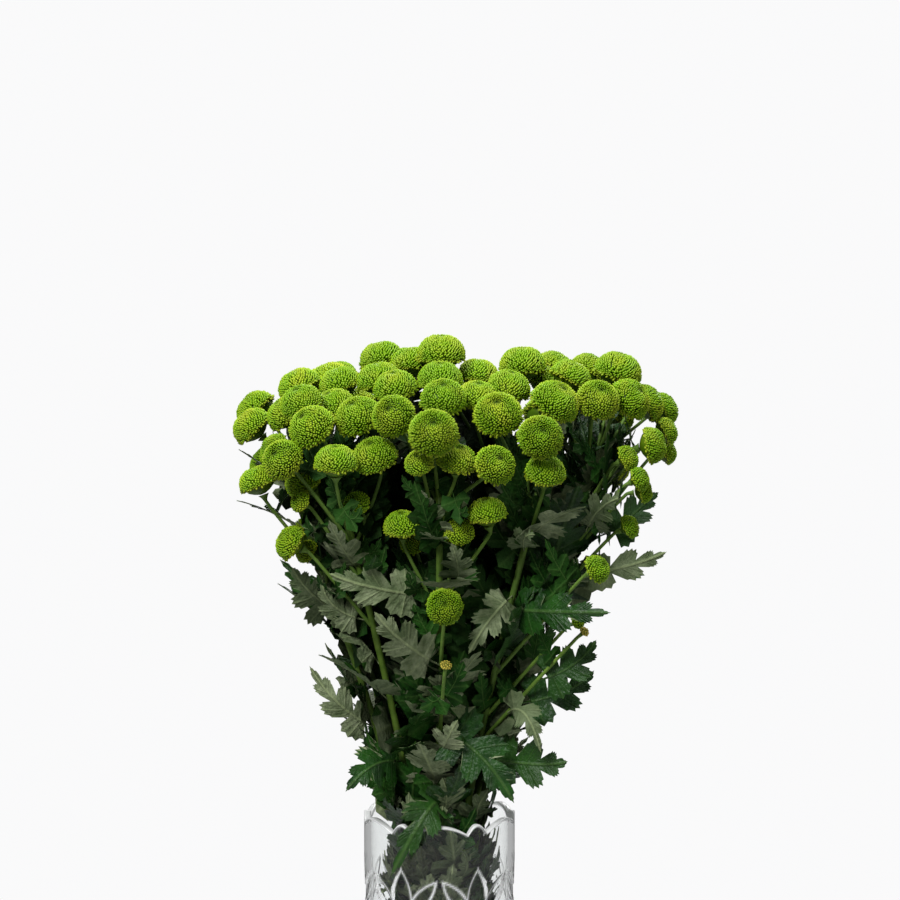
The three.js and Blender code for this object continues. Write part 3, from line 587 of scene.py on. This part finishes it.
def add_large_leaves(plan):
    """The leaves that the part has too."""
    for row in SEEN_LEAVES:
        settle_leaf(seen_leaf(row, plan), plan, *SEEN_TRIES)
    for i in range(OUTER_STEMS):
        settle_leaf(vase_leaf(plan, i), plan, *VASE_TRIES)
    for level, height in enumerate(LEAF_HEIGHTS):
        for i in range(level % 2, OUTER_STEMS, 2):
            root = in_fan(plan.stems[i], height + draw(-8, 8))
            leaf = rising_leaf(i, root, draw(-40, 40), draw(0.2, 1.1), draw(*LEAF_REACH))
            settle_leaf(leaf, plan, *STEM_TRIES)
    for twig in plan.twigs[:len(SEEN_HEADS):TWIG_LEAF_EVERY]:
        root = twig.points[1].copy()
        leaf = rising_leaf(twig.stem, root, draw(-50, 50), draw(0.2, 1), draw(*TWIG_LEAF_REACH))
        settle_leaf(leaf, plan, *TWIG_TRIES)


def make_plan():
    heads, bunch = lay_out_heads()
    plan = SimpleNamespace(heads=heads, bunch=bunch, stems=stem_places(), leaves=[])
    plan.head_places = np.array([one.place for one in heads])
    plan.head_radii = np.array([one.radius for one in heads])
    plan.twigs = lay_out_twigs(plan)
    plan.routes, plan.lines = lay_out_routes(plan.stems, plan.twigs)
    add_large_leaves(plan)
    add_small_leaves(plan)
    return plan


def pressed_leaf(stem, root, turn):
    """A leaf in the vase that lies against the glass."""
    away = outwards(root, turn)
    out = draw(34, 48)
    bend = vector(0, 0, root[2] + draw(6, 24)) + away * out
    tip = vector(0, 0, root[2] + draw(22, 48)) + turned(away, draw(-30, 30)) * out
    # Painted shade: leaves deeper in from the glass are coloured darker
    shade = min(1, (LIGHT_OUT - out) / DARK_OVER)
    return new_leaf(stem, root, bend, tip, away * draw(-1, 1), SMALL, shade=shade)


def inner_leaf(stem, root, turn, reach):
    """A steep leaf deep in the bouquet, with its dark upper face turned outwards."""
    away = outwards(root, turn)
    bend = root + away * 0.3 * reach + vector(0, 0, 0.35 * reach)
    tip = root + away * 0.5 * reach + vector(0, 0, 0.85 * reach)
    return new_leaf(stem, root, bend, tip, outwards(root, 0), INNER)


def stem_roots(plan, count, low, high):
    """Places on main stems, each no higher than its own stem's top."""
    for _ in range(count):
        stem = int(draw(0, len(plan.stems)))
        yield stem, in_fan(plan.stems[stem], min(draw(low, high), plan.lines[stem][-1][2] - 2))


def twig_root(twig, low, high):
    """A place on a head's own stem, from 0 at its fork over 1 at its middle."""
    share = draw(low, high)
    part = int(share)
    return twig.points[part] * (part + 1 - share) + twig.points[part + 1] * (share - part)


def add_small_leaves(plan):
    """Further small leaves fill the vase and the bouquet between its stems."""
    for stem, root in stem_roots(plan, *VASE_FILL):
        settle_leaf(pressed_leaf(stem, root, draw(-80, 80)), plan, *FILL_TRIES)
    for stem, root in stem_roots(plan, *SMALL_LEAVES):
        leaf = rising_leaf(stem, root, draw(-180, 180), draw(0.5, 2), draw(32, 50), SMALL)
        leaf.up = leaf.up * (1 if draw(0, 1) < 0.4 else -1)
        settle_leaf(leaf, plan, *SMALL_TRIES)
    for twig in plan.twigs[::2]:
        root = twig_root(twig, 0, 0.8)
        leaf = rising_leaf(twig.stem, root, draw(-180, 180), draw(0.5, 1.9), draw(24, 38), SMALL)
        settle_leaf(leaf, plan, *SMALL_TRIES)
    for stem, root in stem_roots(plan, *INNER_LEAVES):
        settle_leaf(inner_leaf(stem, root, draw(50, 310), draw(44, 66)), plan, *INNER_TRIES)
    for twig in plan.twigs * INNER_EACH_TWIG:
        root = twig_root(twig, 0.1, 1.8)
        settle_leaf(inner_leaf(twig.stem, root, draw(50, 310), draw(28, 46)), plan, *INNER_TWIG_TRIES)


def inside(points):
    """How much painted shade darkens places in the bouquet, from 0 at its outside to 1."""
    points = np.atleast_2d(points)
    out = np.array([math.hypot(*fan_place(point)) for point in points])
    dark = np.clip((LIGHT_FROM - out) / (LIGHT_FROM - DARK_FROM), 0, 1)
    return dark * np.where(points[:, 2] < VASE_HEIGHT, VASE_SHADE, 1)


class Form:
    """Collects the points, faces, finishes and point values of one piece, in millimetres."""

    def __init__(self):
        self.parts = []

    def add(self, points, faces, finish=0, **values):
        self.parts.append((points, faces, finish, values))

    def add_rings(self, rings, low, high, **values):
        """A closed round body from rings of points, with a middle point at its two ends. A value
        is one for the whole body, one for each ring, or one for each point of the rings."""
        rows, count = rings.shape[:2]
        i = np.arange(count)
        following = (i + 1) % count
        starts = count * np.arange(rows - 1)[:, None]
        sides = [starts + i, starts + following, starts + count + following, starts + count + i]
        first = np.full(count, rows * count)
        top = (rows - 1) * count
        faces = [np.stack(sides, axis=-1).reshape(-1, 4), np.stack([first, following, i], axis=1),
                 np.stack([first + 1, top + i, top + following], axis=1)]
        spread = {}
        for key, value in values.items():
            value = np.asarray(value, float).reshape(-1, 1) if np.ndim(value) == 1 else value
            value = np.broadcast_to(value, (rows, count))
            spread[key] = np.concatenate([value.ravel(), value[0, :1], value[-1, :1]])
        points = np.concatenate([rings.reshape(-1, 3), [low], [high]])
        self.add(points, faces, **spread)

    def piece(self, name, materials, nodes, slot):
        rows = []
        finishes = []
        count = 0
        for points, faces, finish, _ in self.parts:
            for block in faces:
                rows += (block + count).tolist()
                finishes += [finish] * len(block)
            count += len(points)
        mesh = bpy.data.meshes.new(name)
        points = np.concatenate([part[0] for part in self.parts]) * METRES
        mesh.from_pydata(points.tolist(), [], rows)
        mesh.polygons.foreach_set("material_index", np.array(finishes, dtype=np.int32))
        mesh.polygons.foreach_set("use_smooth", np.ones(len(rows), dtype=bool))
        for key in sorted({key for part in self.parts for key in part[3]}):
            values = [np.broadcast_to(part[3].get(key, 0), len(part[0])) for part in self.parts]
            layer = mesh.attributes.new(key, "FLOAT", "POINT")
            layer.data.foreach_set("value", np.concatenate(values).astype(np.float32))
        mesh.validate()
        for material in materials:
            mesh.materials.append(material)
        made = bpy.data.objects.new(name, mesh)
        bpy.context.scene.collection.objects.link(made)
        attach(made, "root")
        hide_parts(*nodes)


def round_body(form, middles, right, back, radii, sides, **values):
    """A closed round body from rings about middles, square to which two directions are given."""
    turn = 2 * math.pi * np.arange(sides)[:, None] / sides
    around = np.cos(turn) * right[..., None, :] + np.sin(turn) * back[..., None, :]
    rings = middles[:, None] + around * radii[:, None, None]
    form.add_rings(rings, middles[0], middles[-1], **values)


def tube(form, points, radii, sides, node, draws):
    """A round closed stretch of stem along points."""
    ahead = unit(np.gradient(points, axis=0))
    right = unit(np.cross([0, 1, 0], ahead))
    # Stems are coloured darker deep in the bouquet as painted shade
    round_body(form, points, right, np.cross(ahead, right), radii, sides,
               node=node, tint=draws.uniform(0, 1), inside=inside(points))


def smooth_line(points, steps):
    """A smooth curve through points, with a number of steps between each two."""
    points = np.array(points, float)
    slopes = unit(np.gradient(points, axis=0))
    t = np.arange(steps)[:, None] / steps
    line = []
    for a, b, start, end in zip(points, points[1:], slopes, slopes[1:]):
        reach = size(b - a)
        line.append((2 * t ** 3 - 3 * t ** 2 + 1) * a + (t ** 3 - 2 * t ** 2 + t) * reach * start
                    + (3 * t ** 2 - 2 * t ** 3) * b + (t ** 3 - t ** 2) * reach * end)
    return np.concatenate([*line, points[-1:]])


def axis_frame(axis, turn):
    """Two directions square to an axis, turned about it."""
    right = unit(np.cross([0.31, 0.95, 0.05], axis))
    back = np.cross(axis, right)
    c, s = math.cos(turn), math.sin(turn)
    return right * c + back * s, back * c - right * s


def florets(form, one, draws, tint):
    """Small incurved florets in a spiral over a low dome, each a blunt grain of eight points."""
    radius = one.radius
    count = int(FLORETS_PER_RADIUS * radius ** 2)
    share = (np.arange(count) + 0.5) / count
    span = 1 - math.cos(math.radians(FLORETS_WIDEST))
    polar = np.arccos(1 - span * share ** FLORETS_CROWDING)
    turn = GOLDEN * np.arange(count) + draws.uniform(-0.04, 0.04, count)
    spacing = math.sqrt(2 * math.pi * span / count * FLORETS_CROWDING)
    spacing = np.maximum(spacing * np.sqrt(share ** (FLORETS_CROWDING - 1)), 0.05)
    polar = polar + draws.uniform(-0.2, 0.2, count) * spacing
    lower = np.clip((polar - math.radians(80)) / math.radians(30), 0, 1)
    reach = 1 + draws.uniform(-0.03, 0.02, count) + lower * draws.uniform(-0.08, 0.15, count)

    def surface(angle, scale):
        up = np.cos(angle)
        high = np.where(up > 0, DOME, UNDERSIDE * 0.8)
        scale = scale * (1 - (1 - HEAD_DIMPLE / DOME) * np.exp(-(angle / 0.25) ** 2))
        out = np.sin(angle)
        return np.stack([out * np.cos(turn), out * np.sin(turn), up * high], axis=1) * scale[:, None]
    inwards = (0.9 - 1.3 * lower) * spacing
    root, belly, shoulder, tip = (surface(polar + way * inwards, out * reach) for way, out in FLORET)
    across = np.stack([-np.sin(turn), np.cos(turn), np.zeros(count)], axis=1)
    points = [root]
    lines = [(belly, root, shoulder), (shoulder, belly, tip)]
    for (centre, behind, ahead), (wide, deep) in zip(lines, FLORET_GIRTHS):
        out = unit(np.cross(unit(ahead - behind), across))
        out *= np.sign((out * centre).sum(axis=1))[:, None]
        side = across * (wide * spacing)[:, None]
        out = out * (deep * spacing)[:, None]
        points += [centre + side - 0.4 * out, centre + out, centre - side - 0.4 * out]
    points.append(tip)
    local = np.stack(points, axis=1) * radius
    right, back = axis_frame(one.axis, draws.uniform(0, 2 * math.pi))
    real = one.place + local[..., :1] * right + local[..., 1:2] * back + local[..., 2:] * one.axis
    base = (8 * np.arange(count))[:, None, None]
    faces = (base + np.array(FLORET_FACES)).reshape(-1, 3)
    along = np.tile([0, 0.5, 0.5, 0.5, 0.85, 0.85, 0.85, 1], count)
    each = np.repeat(draws.uniform(0, 1, count), 8)
    form.add(real.reshape(-1, 3), [faces], along=along, each=each, edge=np.repeat(share, 8), tint=tint)


def lathe(form, one, profile, sides, **values):
    """A closed round body on a head's axis from rows of radius and height."""
    radii, heights = one.radius * np.array(profile, float).T
    middles = one.place + one.axis * heights[:, None]
    round_body(form, middles, *axis_frame(one.axis, 0), radii, sides, **values)


def make_heads(plan, materials):
    """A piece for each bunch of heads and for each bud: its florets round a plain core."""
    draws = np.random.default_rng(71)
    for kind, name, node, slot in (
            ("head", "bloom", "heads", "bloom"), ("bud", "closed_bud", "bud", "bud")):
        members = [(one, bunch) for one, bunch in zip(plan.heads, plan.bunch) if one.kind == kind]
        for number, chosen in enumerate(dict.fromkeys(bunch for _, bunch in members), 1):
            form = Form()
            for one in (one for one, bunch in members if bunch == chosen):
                tint = draws.uniform(0, 1) if kind == "head" else 0.5
                florets(form, one, draws, tint)
                # The core takes the floret roots' dark colour, painted shade in the gaps between florets
                lathe(form, one, CORES[kind], 16, along=0, each=0.5, edge=0.5, tint=tint)
            made = getattr(materials, slot)
            form.piece(f"{name}_{number:02d}", [made], [f"{node}_{number:02d}"], slot)


def leaf_rows(steps):
    """The rows of a leaf from its stem to its tip: place along the rib, direction, length, and
    how much of a vein the row is."""
    rows = [(s, way, length, 0) for s, way, length in LEAF_STALK]
    fine = steps > 2
    for (start, end, way, fan, length), bay in zip(LEAF_LOBES, LEAF_BAYS):
        for i in range(-steps, steps + 1):
            q = i / steps
            tooth = 0.87 if fine and i % 2 == 1 else 1
            reach = length * (1 - 0.24 * abs(q) ** 3) * tooth
            vein = 1 if i == 0 else 0.6 * (i % 2 == 0)
            rows.append(((start + end) / 2 + q * (end - start) / 2, way - q * fan, reach, vein))
        rows.append((*bay, 0))
    start, way, length = LEAF_TIP
    ends = 2 * steps - 1 if fine else 4
    for i in range(ends):
        u = i / (ends - 1)
        tooth = 0.84 if fine and i % 2 == 0 else 1
        rows.append((start + (1 - start) * u, way * (1 - u), length * (1 - u) ** 0.8 * tooth, 0))
    return (np.array(column, float) for column in zip(*rows))


def leaf_form(form, leaf, draws):
    """A lobed and toothed leaf: rows run from the rib out along its side veins, on both faces."""
    steps, across = leaf.detail
    s, way, reach, crease = leaf_rows(steps)
    reach = reach * draws.uniform(0.82, 0.96)
    t = np.array(across)
    out = (reach * leaf.wide * np.sin(np.radians(way)))[:, None] * t
    along = np.minimum(s[:, None] + (reach * np.cos(np.radians(way)))[:, None] * np.abs(t), 1)
    length = rib_length(leaf)
    wave = np.where(t < 0, draws.uniform(0, 2 * math.pi), draws.uniform(0, 2 * math.pi))
    edge = (np.abs(out) / 0.28) ** 1.4
    lift = LEAF_WAVE * edge * np.sin(11 * s[:, None] + wave)
    lift -= LEAF_DROOP * edge * draws.uniform(-0.3, 1)
    lift -= LEAF_PLEAT * crease[:, None] * np.minimum(np.abs(t), 0.8)
    lift *= length
    thick = LEAF_THICK * (1 - np.abs(t))[None] + 0 * out
    ridge = RIB_HEIGHT * np.exp(-(out * length / RIB_WIDTH) ** 2) * (1 - 0.6 * s[:, None])
    top = blade(leaf, along, out, lift + thick)
    under = blade(leaf, along, out, lift - thick - ridge)
    rows, columns = out.shape
    count = rows * columns
    index = np.arange(count).reshape(rows, columns)
    corners = [index[:-1, :-1], index[1:, :-1], index[1:, 1:], index[:-1, 1:]]
    quads = np.stack(corners, axis=-1).reshape(-1, 4)
    points = np.concatenate([top.reshape(-1, 3), under.reshape(-1, 3)])
    # The leaf's colour is darkened by painted shade deep in the bouquet, and for pressed leaves by their
    # painted shade in the vase
    form.add(points, [quads, quads[:, ::-1] + count], 2 if leaf.detail is INNER else 1,
             vein=np.tile(np.repeat(crease, columns), 2), aside=np.tile(out.ravel(), 2),
             under=np.repeat([0, 1], count), tint=draws.uniform(0, 1),
             inside=max(inside(blade(leaf, 0.5, 0, 0))[0], leaf.shade))


def stem_form(form, line, draws):
    """A main stem with a small swelling at each node."""
    points = smooth_line(line, 14)
    share = np.linspace(0, 1, len(points))
    radii = STEM_RADIUS - STEM_TAPER * share * (len(line) - 1) / len(line)
    run = np.concatenate([[0], np.cumsum(size(np.diff(points, axis=0)))])
    swelling = np.exp(-(((run + draws.uniform(0, 30)) % 34 - 17) / 3) ** 2)
    tube(form, points, radii * (0.96 + 0.14 * swelling), 10, swelling, draws)


def twig_form(form, twig, draws):
    """A head's own stem, which widens to the cup under the head."""
    points = smooth_line(twig.points, 8)
    share = np.linspace(0, 1, len(points))
    cup = max(SMALLEST_CUP, CUP_RADIUS * twig.head.radius)
    radii = 1.25 + 0.35 * (1 - share) ** 2 + np.maximum(0, share - 0.72) / 0.28 * (cup - 1.25) * share ** 3
    tube(form, points, radii, 7, 0, draws)


def make_sprays(plan, materials):
    draws = np.random.default_rng(29)
    for number, line in enumerate(plan.lines):
        form = Form()
        stem_form(form, line, draws)
        for twig in plan.twigs:
            if twig.stem == number:
                twig_form(form, twig, draws)
        for leaf, _ in plan.leaves:
            if leaf.stem == number:
                leaf_form(form, leaf, draws)
        name = f"{number + 1:02d}"
        finishes = [materials.stem, materials.leaf, materials.inner_leaf]
        form.piece(f"leafy_spray_{name}", finishes, [f"spray_{name}"], "foliage")


def from_arch(turn):
    """Degrees from the middle of the nearest small arch of the rim."""
    period = 360 / REPEATS
    past = (turn - FIRST_SMALL_ARCH) % period
    return np.where(past > period / 2, past - period, past)


def rim_height(turn):
    aside = np.abs(from_arch(turn))
    wide = 180 / REPEATS
    share = np.where(aside < SMALL_ARCH, aside / SMALL_ARCH, (wide - aside) / (wide - SMALL_ARCH))
    return VASE_HEIGHT - SCALLOP_DEPTH * share ** 2


def petal_cuts(turn, height):
    """Hollow petals cut into the glass: how deep they are, and how near their bright edge is."""
    aside = from_arch(turn)
    deepest = np.zeros(np.broadcast(turn, height).shape)
    edge = np.zeros_like(deepest)
    for centre, middle, length, width, lean in PETALS:
        across = np.radians(aside - centre) * VASE_RADIUS
        up = height - middle
        c, s = math.cos(math.radians(lean)), math.sin(math.radians(lean))
        along = (up * c + across * s) / length
        out = np.abs(across * c - up * s)
        half = np.maximum(width * (1 - along ** 2), 1e-6)
        inwards = np.clip(1 - out / half, 0, 1)
        wall = np.clip(inwards / PETAL_WALL, 0, 1)
        depth = (PETAL_DEPTH * wall * (2 - wall) - 0.5 * inwards) * (half / width) ** 0.5
        deepest = np.maximum(deepest, np.where(np.abs(along) < 1, depth, 0))
        # The bright edge is a painted highlight: the glass material is made whitish and less clear there
        off = (half - out) - 0.8
        edge = np.maximum(edge, np.where(np.abs(along) < 1.05, np.clip(1.5 - np.abs(off) / 0.9, 0, 1), 0))
    return deepest, edge


def groove_depth(turn, height):
    """Shallow upright grooves between the panes below the petals."""
    low, high = PANE_ENDS
    share = (turn - FIRST_SMALL_ARCH) % PANE / PANE - 0.5
    fade = np.clip((high - height) / PANE_FADE, 0, 1) * np.clip((height - low) / PANE_FADE, 0, 1)
    return GROOVE * fade * (2 * np.abs(share)) ** 2


def make_vase(materials):
    columns = 312
    turn = FIRST_SMALL_ARCH + 360 * np.arange(columns) / columns
    rim = rim_height(turn)
    rows = []

    def row(radius, height, edge=0):
        rows.append([np.broadcast_to(value, columns) for value in (radius, height, edge)])
    for angle in np.radians(np.linspace(0, 90, 5)):
        row(VASE_RADIUS - FOOT_BEVEL * (1 - math.sin(angle)), FOOT_BEVEL * (1 - math.cos(angle)))
    for height in [6, 10, 14, 18, *np.linspace(20, 128, 10), *np.linspace(130, PETALS_TOP, 56)]:
        depth, edge = petal_cuts(turn, height)
        row(VASE_RADIUS - depth - groove_depth(turn, height), height, edge)
    for share in np.linspace(0.1, 0.95, 5):
        row(VASE_RADIUS, PETALS_TOP + (rim - RIM_CURVE - PETALS_TOP) * share)
    for step in range(9):
        angle = math.radians(180 * step / 8)
        middle = VASE_RADIUS - RIM_CURVE if step < 5 else VASE_RADIUS - WALL + RIM_CURVE
        # The rim lip takes the same painted highlight as the petals' edges
        row(middle + RIM_CURVE * math.cos(angle), rim - RIM_CURVE + RIM_CURVE * math.sin(angle), 1)
    low = FLOOR + FLOOR_CURVE
    for share in np.linspace(0.99, 0, 16):
        row(VASE_RADIUS - WALL, low + (rim - RIM_CURVE - low) * share)
    for angle in np.radians(np.linspace(18, 90, 5)):
        inwards = FLOOR_CURVE * (1 - math.cos(angle))
        row(VASE_RADIUS - WALL - inwards, low - FLOOR_CURVE * math.sin(angle))
    radius, height, edge = np.array(rows).transpose(1, 0, 2)
    turn = np.radians(turn)
    rings = np.stack([radius * np.cos(turn), radius * np.sin(turn), height], axis=-1)
    form = Form()
    form.add_rings(rings, vector(0, 0, 0), vector(0, 0, FLOOR), edge=edge)
    form.piece("cut_glass_vase", [materials.glass], ["vase"], "glass")


def make_water(materials):
    side = VASE_RADIUS - WALL - WATER_GAP
    bottom = FLOOR + WATER_GAP
    profile = [(side - FLOOR_CURVE, bottom)]
    for angle in np.radians(np.linspace(22.5, 90, 4)):
        inwards = FLOOR_CURVE * (1 - math.sin(angle))
        profile.append((side - inwards, bottom + FLOOR_CURVE * (1 - math.cos(angle))))
    profile += [(side, WATER_LEVEL), (side - 0.4, WATER_LEVEL - 0.9), (side - 1.4, WATER_LEVEL - 1.4),
                (side - 3, WATER_LEVEL - 1.6), (10, WATER_LEVEL - 1.6)]
    water = SimpleNamespace(place=vector(0, 0, 0), axis=vector(0, 0, 1), radius=1)
    form = Form()
    lathe(form, water, profile, 96)
    form.piece("still_water", [materials.water], ["water"], "water")


class Nodes:
    """A short way to write the nodes of a material or of the world."""

    def __init__(self, owner, shader="Principled BSDF"):
        owner.use_nodes = True
        self.owner = owner
        self.tree = owner.node_tree
        self.shader = self.tree.nodes[shader]

    def put(self, socket, value):
        if isinstance(value, bpy.types.NodeSocket):
            self.tree.links.new(value, socket)
        else:
            socket.default_value = value

    def finish(self, **values):
        """Sets the shader's inputs, each by its name with an underscore for a space."""
        for name, value in values.items():
            self.put(self.shader.inputs[name.replace("_", " ")], value)
        return self.owner

    def node(self, kind, inputs, output=0, **settings):
        """A node with some inputs set by name or number, and one of its outputs."""
        made = self.tree.nodes.new(f"ShaderNode{kind}")
        for name, value in settings.items():
            setattr(made, name, value)
        for key, value in inputs.items():
            self.put(made.inputs[key], value)
        return made.outputs[output]

    def attribute(self, name):
        return self.node("Attribute", {}, "Fac", attribute_name=name)

    def math(self, operation, a, b=0.0):
        return self.node("Math", {0: a, 1: b}, operation=operation)

    def span(self, value, low=0.0, high=1.0, start=0.0, end=1.0):
        """A value as a share from start to end while it goes from low to high."""
        return self.node("MapRange", dict(enumerate((value, low, high, start, end))))

    def mix(self, share, a, b):
        return self.node("Mix", {0: share, 6: a, 7: b}, 2, data_type="RGBA")

    def layers(self, base, *layers):
        """A colour under layers: each has a value or an attribute's name, the span in which it
        comes in, and its colour."""
        for value, span, over in layers:
            value = self.attribute(value) if isinstance(value, str) else value
            base = self.mix(self.span(value, *span), base, over)
        return base

    def noise(self, scale, detail=3.0):
        place = self.node("TexCoord", {}, "Object")
        return self.node("TexNoise", {"Vector": place, "Scale": scale, "Detail": detail}, "Fac")

    def bump(self, height, strength=0.25, distance=0.0004):
        return self.node("Bump", {"Height": height, "Strength": strength, "Distance": distance})


def new_material(name):
    return Nodes(bpy.data.materials.new(name))


def colour(red, green, blue):
    """A screen colour from 0 to 255 as the linear one that a shader takes."""
    def linear(value):
        value /= 255
        return value / 12.92 if value <= 0.04045 else ((value + 0.055) / 1.055) ** 2.4
    return (linear(red), linear(green), linear(blue), 1)


def bloom_material():
    n = new_material("bloom")
    along = n.attribute("along")
    edge = n.attribute("edge")
    yellow = n.layers(colour(100, 116, 2), (along, (0.3, 1), colour(216, 206, 60)))
    # Each floret is dark at its root, painted shade for the gaps between florets, and pale lime at its
    # tip, partly its own colour and partly a painted highlight
    green = n.layers(
        colour(20, 48, 2),
        (along, (0.1, 0.55), colour(68, 114, 2)),
        (along, (0.5, 0.9), colour(104, 152, 2)),
        (along, (0.86, 1), colour(172, 200, 36)),
        (n.noise(60, 3), (0.45, 0.75, 0, 0.5), yellow),
        (edge, (0.82, 1, 0, 0.6), yellow),
        (edge, (0.005, 0.035, 0.9, 0), colour(30, 62, 2)),
        ("tint", (0, 1, 0, 0.35), colour(80, 132, 2)),
        ("each", (0, 1, 0, 0.25), colour(140, 170, 16)))
    relief = n.bump(n.noise(1800, 2))
    return n.finish(Base_Color=green, Roughness=0.5, Specular_IOR_Level=0.25, Normal=relief)


def bud_material():
    n = new_material("bud")
    yellow = n.layers(
        colour(92, 120, 30),
        ("along", (0.4, 1), colour(208, 186, 70)),
        ("each", (0, 1, 0, 0.5), colour(176, 160, 60)))
    return n.finish(Base_Color=yellow, Roughness=0.6, Normal=n.bump(n.noise(1800, 2)))


def leaf_material(name, roughness, specular):
    n = new_material(name)
    vein = n.attribute("vein")
    rib = n.span(n.math("ABSOLUTE", n.attribute("aside")), 0.006, 0.02, 1, 0)
    veins = n.math("MAXIMUM", n.span(vein, 0.55, 0.95, 0, 0.7), n.span(vein, 0.35, 0.6, 0, 0.2))
    veins = n.math("MAXIMUM", veins, rib)
    patches = n.noise(60, 4)
    tint = n.attribute("tint")
    under = n.attribute("under")
    upper = n.layers(
        colour(10, 42, 8),
        (patches, (0.35, 0.7), colour(32, 78, 18)),
        (tint, (0, 1, 0, 0.5), colour(44, 80, 26)),
        (veins, (0, 1, 0, 0.35), colour(86, 120, 58)))
    lower = n.layers(
        colour(82, 96, 62),
        (patches, (0.35, 0.65), colour(156, 168, 130)),
        (n.noise(260, 4), (0.4, 0.7, 0, 0.6), colour(72, 90, 54)),
        (tint, (0, 1, 0, 0.7), colour(72, 92, 54)),
        (veins, (0, 1, 0, 0.5), colour(150, 164, 116)))
    # Painted shade: the colour darkens to near black deep in the bouquet and in the vase
    shaded = n.layers(
        n.mix(under, upper, lower), ("inside", (0, 1, 0, 0.92), colour(4, 14, 2)))
    relief = n.math("ADD", n.math("MULTIPLY", veins, -1), n.math("MULTIPLY", n.noise(300, 4), 2))
    return n.finish(Base_Color=shaded, Roughness=n.span(under, 0, 1, roughness, 0.8),
                    Specular_IOR_Level=specular, Normal=n.bump(relief, 0.8, 0.001))


def stem_material():
    n = new_material("stem")
    green = n.layers(
        colour(80, 112, 34),
        (n.noise(140, 4), (0.35, 0.7), colour(112, 142, 54)),
        ("tint", (0, 1, 0, 0.6), colour(96, 128, 56)),
        ("node", (0, 1, 0, 0.5), colour(70, 84, 34)),
        # painted shade darkens stems deep in the bouquet
        ("inside", (0, 1, 0, 0.8), colour(24, 44, 6)))
    relief = n.bump(n.noise(900, 3), 0.35, 0.0005)
    return n.finish(Base_Color=green, Roughness=0.6, Specular_IOR_Level=0.25, Normal=relief)


def glass_material():
    """Clear and smooth, and rougher, whitish and less clear along the petals' edges and the rim lip, a
    painted highlight for their bright bevels.
    """
    n = new_material("glass")
    edge = n.attribute("edge")
    relief = n.bump(n.noise(30, 2), 0.06, 0.0006)
    return n.finish(Base_Color=(0.97, 0.985, 0.98, 1), IOR=1.5, Roughness=n.span(edge, 0, 1, 0.015, 0.3),
                    Transmission_Weight=n.span(edge, 0, 1, 1, 0.35), Normal=relief)


def water_material():
    n = new_material("water")
    relief = n.bump(n.noise(12, 1), 0.02, 0.0005)
    return n.finish(Base_Color=(0.96, 0.985, 0.975, 1), IOR=1.33, Roughness=0, Transmission_Weight=1,
                    Normal=relief)


def studio_strength(n):
    """Full brightness to the eye and through glass, and less to lit or shiny surfaces and to
    echoes within the glass."""
    strength = 1
    for ray, share in STUDIO_SHARES.items():
        dimmed = n.span(n.node("LightPath", {}, ray), 0, 1, 1, share)
        strength = n.math("MINIMUM", strength, dimmed)
    return strength


def floor_material():
    """Pale near the object and as bright as the backdrop further off, so no edge shows."""
    n = new_material("floor")
    place = n.node("TexCoord", {}, "Object")
    far = n.span(n.node("VectorMath", {0: place}, "Value", operation="LENGTH"), 0.15, 0.55)
    black = (0, 0, 0, 1)
    return n.finish(Base_Color=n.mix(far, (0.7, 0.7, 0.71, 1), black), Roughness=0.9, Specular_IOR_Level=0,
                    Emission_Color=n.mix(far, black, STUDIO), Emission_Strength=studio_strength(n))


def make_floor():
    mesh = bpy.data.meshes.new("floor")
    reach = 40
    corners = [(-reach, -reach, 0), (reach, -reach, 0), (reach, reach, 0), (-reach, reach, 0)]
    mesh.from_pydata(corners, [], [(0, 1, 2, 3)])
    mesh.materials.append(floor_material())
    floor = bpy.data.objects.new("floor", mesh)
    floor.location.z = -0.0005
    bpy.context.scene.collection.objects.link(floor)


def aim(name, data, place, target):
    """A light or camera in its place, turned to its target."""
    made = bpy.data.objects.new(name, data)
    made.location = place
    made.rotation_mode = "QUATERNION"
    made.rotation_quaternion = (Vector(target) - made.location).to_track_quat("-Z", "Y")
    bpy.context.scene.collection.objects.link(made)
    return made


def area_light(name, place, target, width, power):
    data = bpy.data.lights.new(name, "AREA")
    data.shape = "DISK"
    data.size = width
    data.energy = power
    aim(name, data, place, target)


def make_light():
    world = bpy.data.worlds.new("studio")
    bpy.context.scene.world = world
    n = Nodes(world, "Background")
    n.finish(Color=STUDIO, Strength=studio_strength(n))
    area_light("key", (-0.9, -1.5, 2.1), (0, 0, 0.45), 1.0, 68)
    area_light("top", (0.2, 0.1, 2.4), (0, 0, 0.45), 1.2, 36)
    area_light("fill", (1.8, -1.4, 0.9), (0, 0, 0.4), 1.2, 8)
    area_light("back", (0.5, 1.9, 1.7), (0, 0, 0.4), 1.4, 34)
    bpy.context.scene.cycles.glossy_bounces = 12


def make_camera():
    data = bpy.data.cameras.new("camera")
    data.sensor_width = 36
    data.lens = 90.9
    place = (0, -EYE_DISTANCE * METRES, EYE_HEIGHT * METRES)
    bpy.context.scene.camera = aim("camera", data, place, (0.008, 0, 0.498))


bpy.context.scene.view_settings.view_transform = "Standard"
make_camera()
make_floor()
make_light()
plan = make_plan()
materials = SimpleNamespace(
    bloom=bloom_material(), bud=bud_material(), leaf=leaf_material("leaf", 0.42, 0.3),
    inner_leaf=leaf_material("inner_leaf", 0.7, 0.1), stem=stem_material(),
    glass=glass_material(), water=water_material())
make_vase(materials)
make_water(materials)
make_sprays(plan, materials)
make_heads(plan, materials)
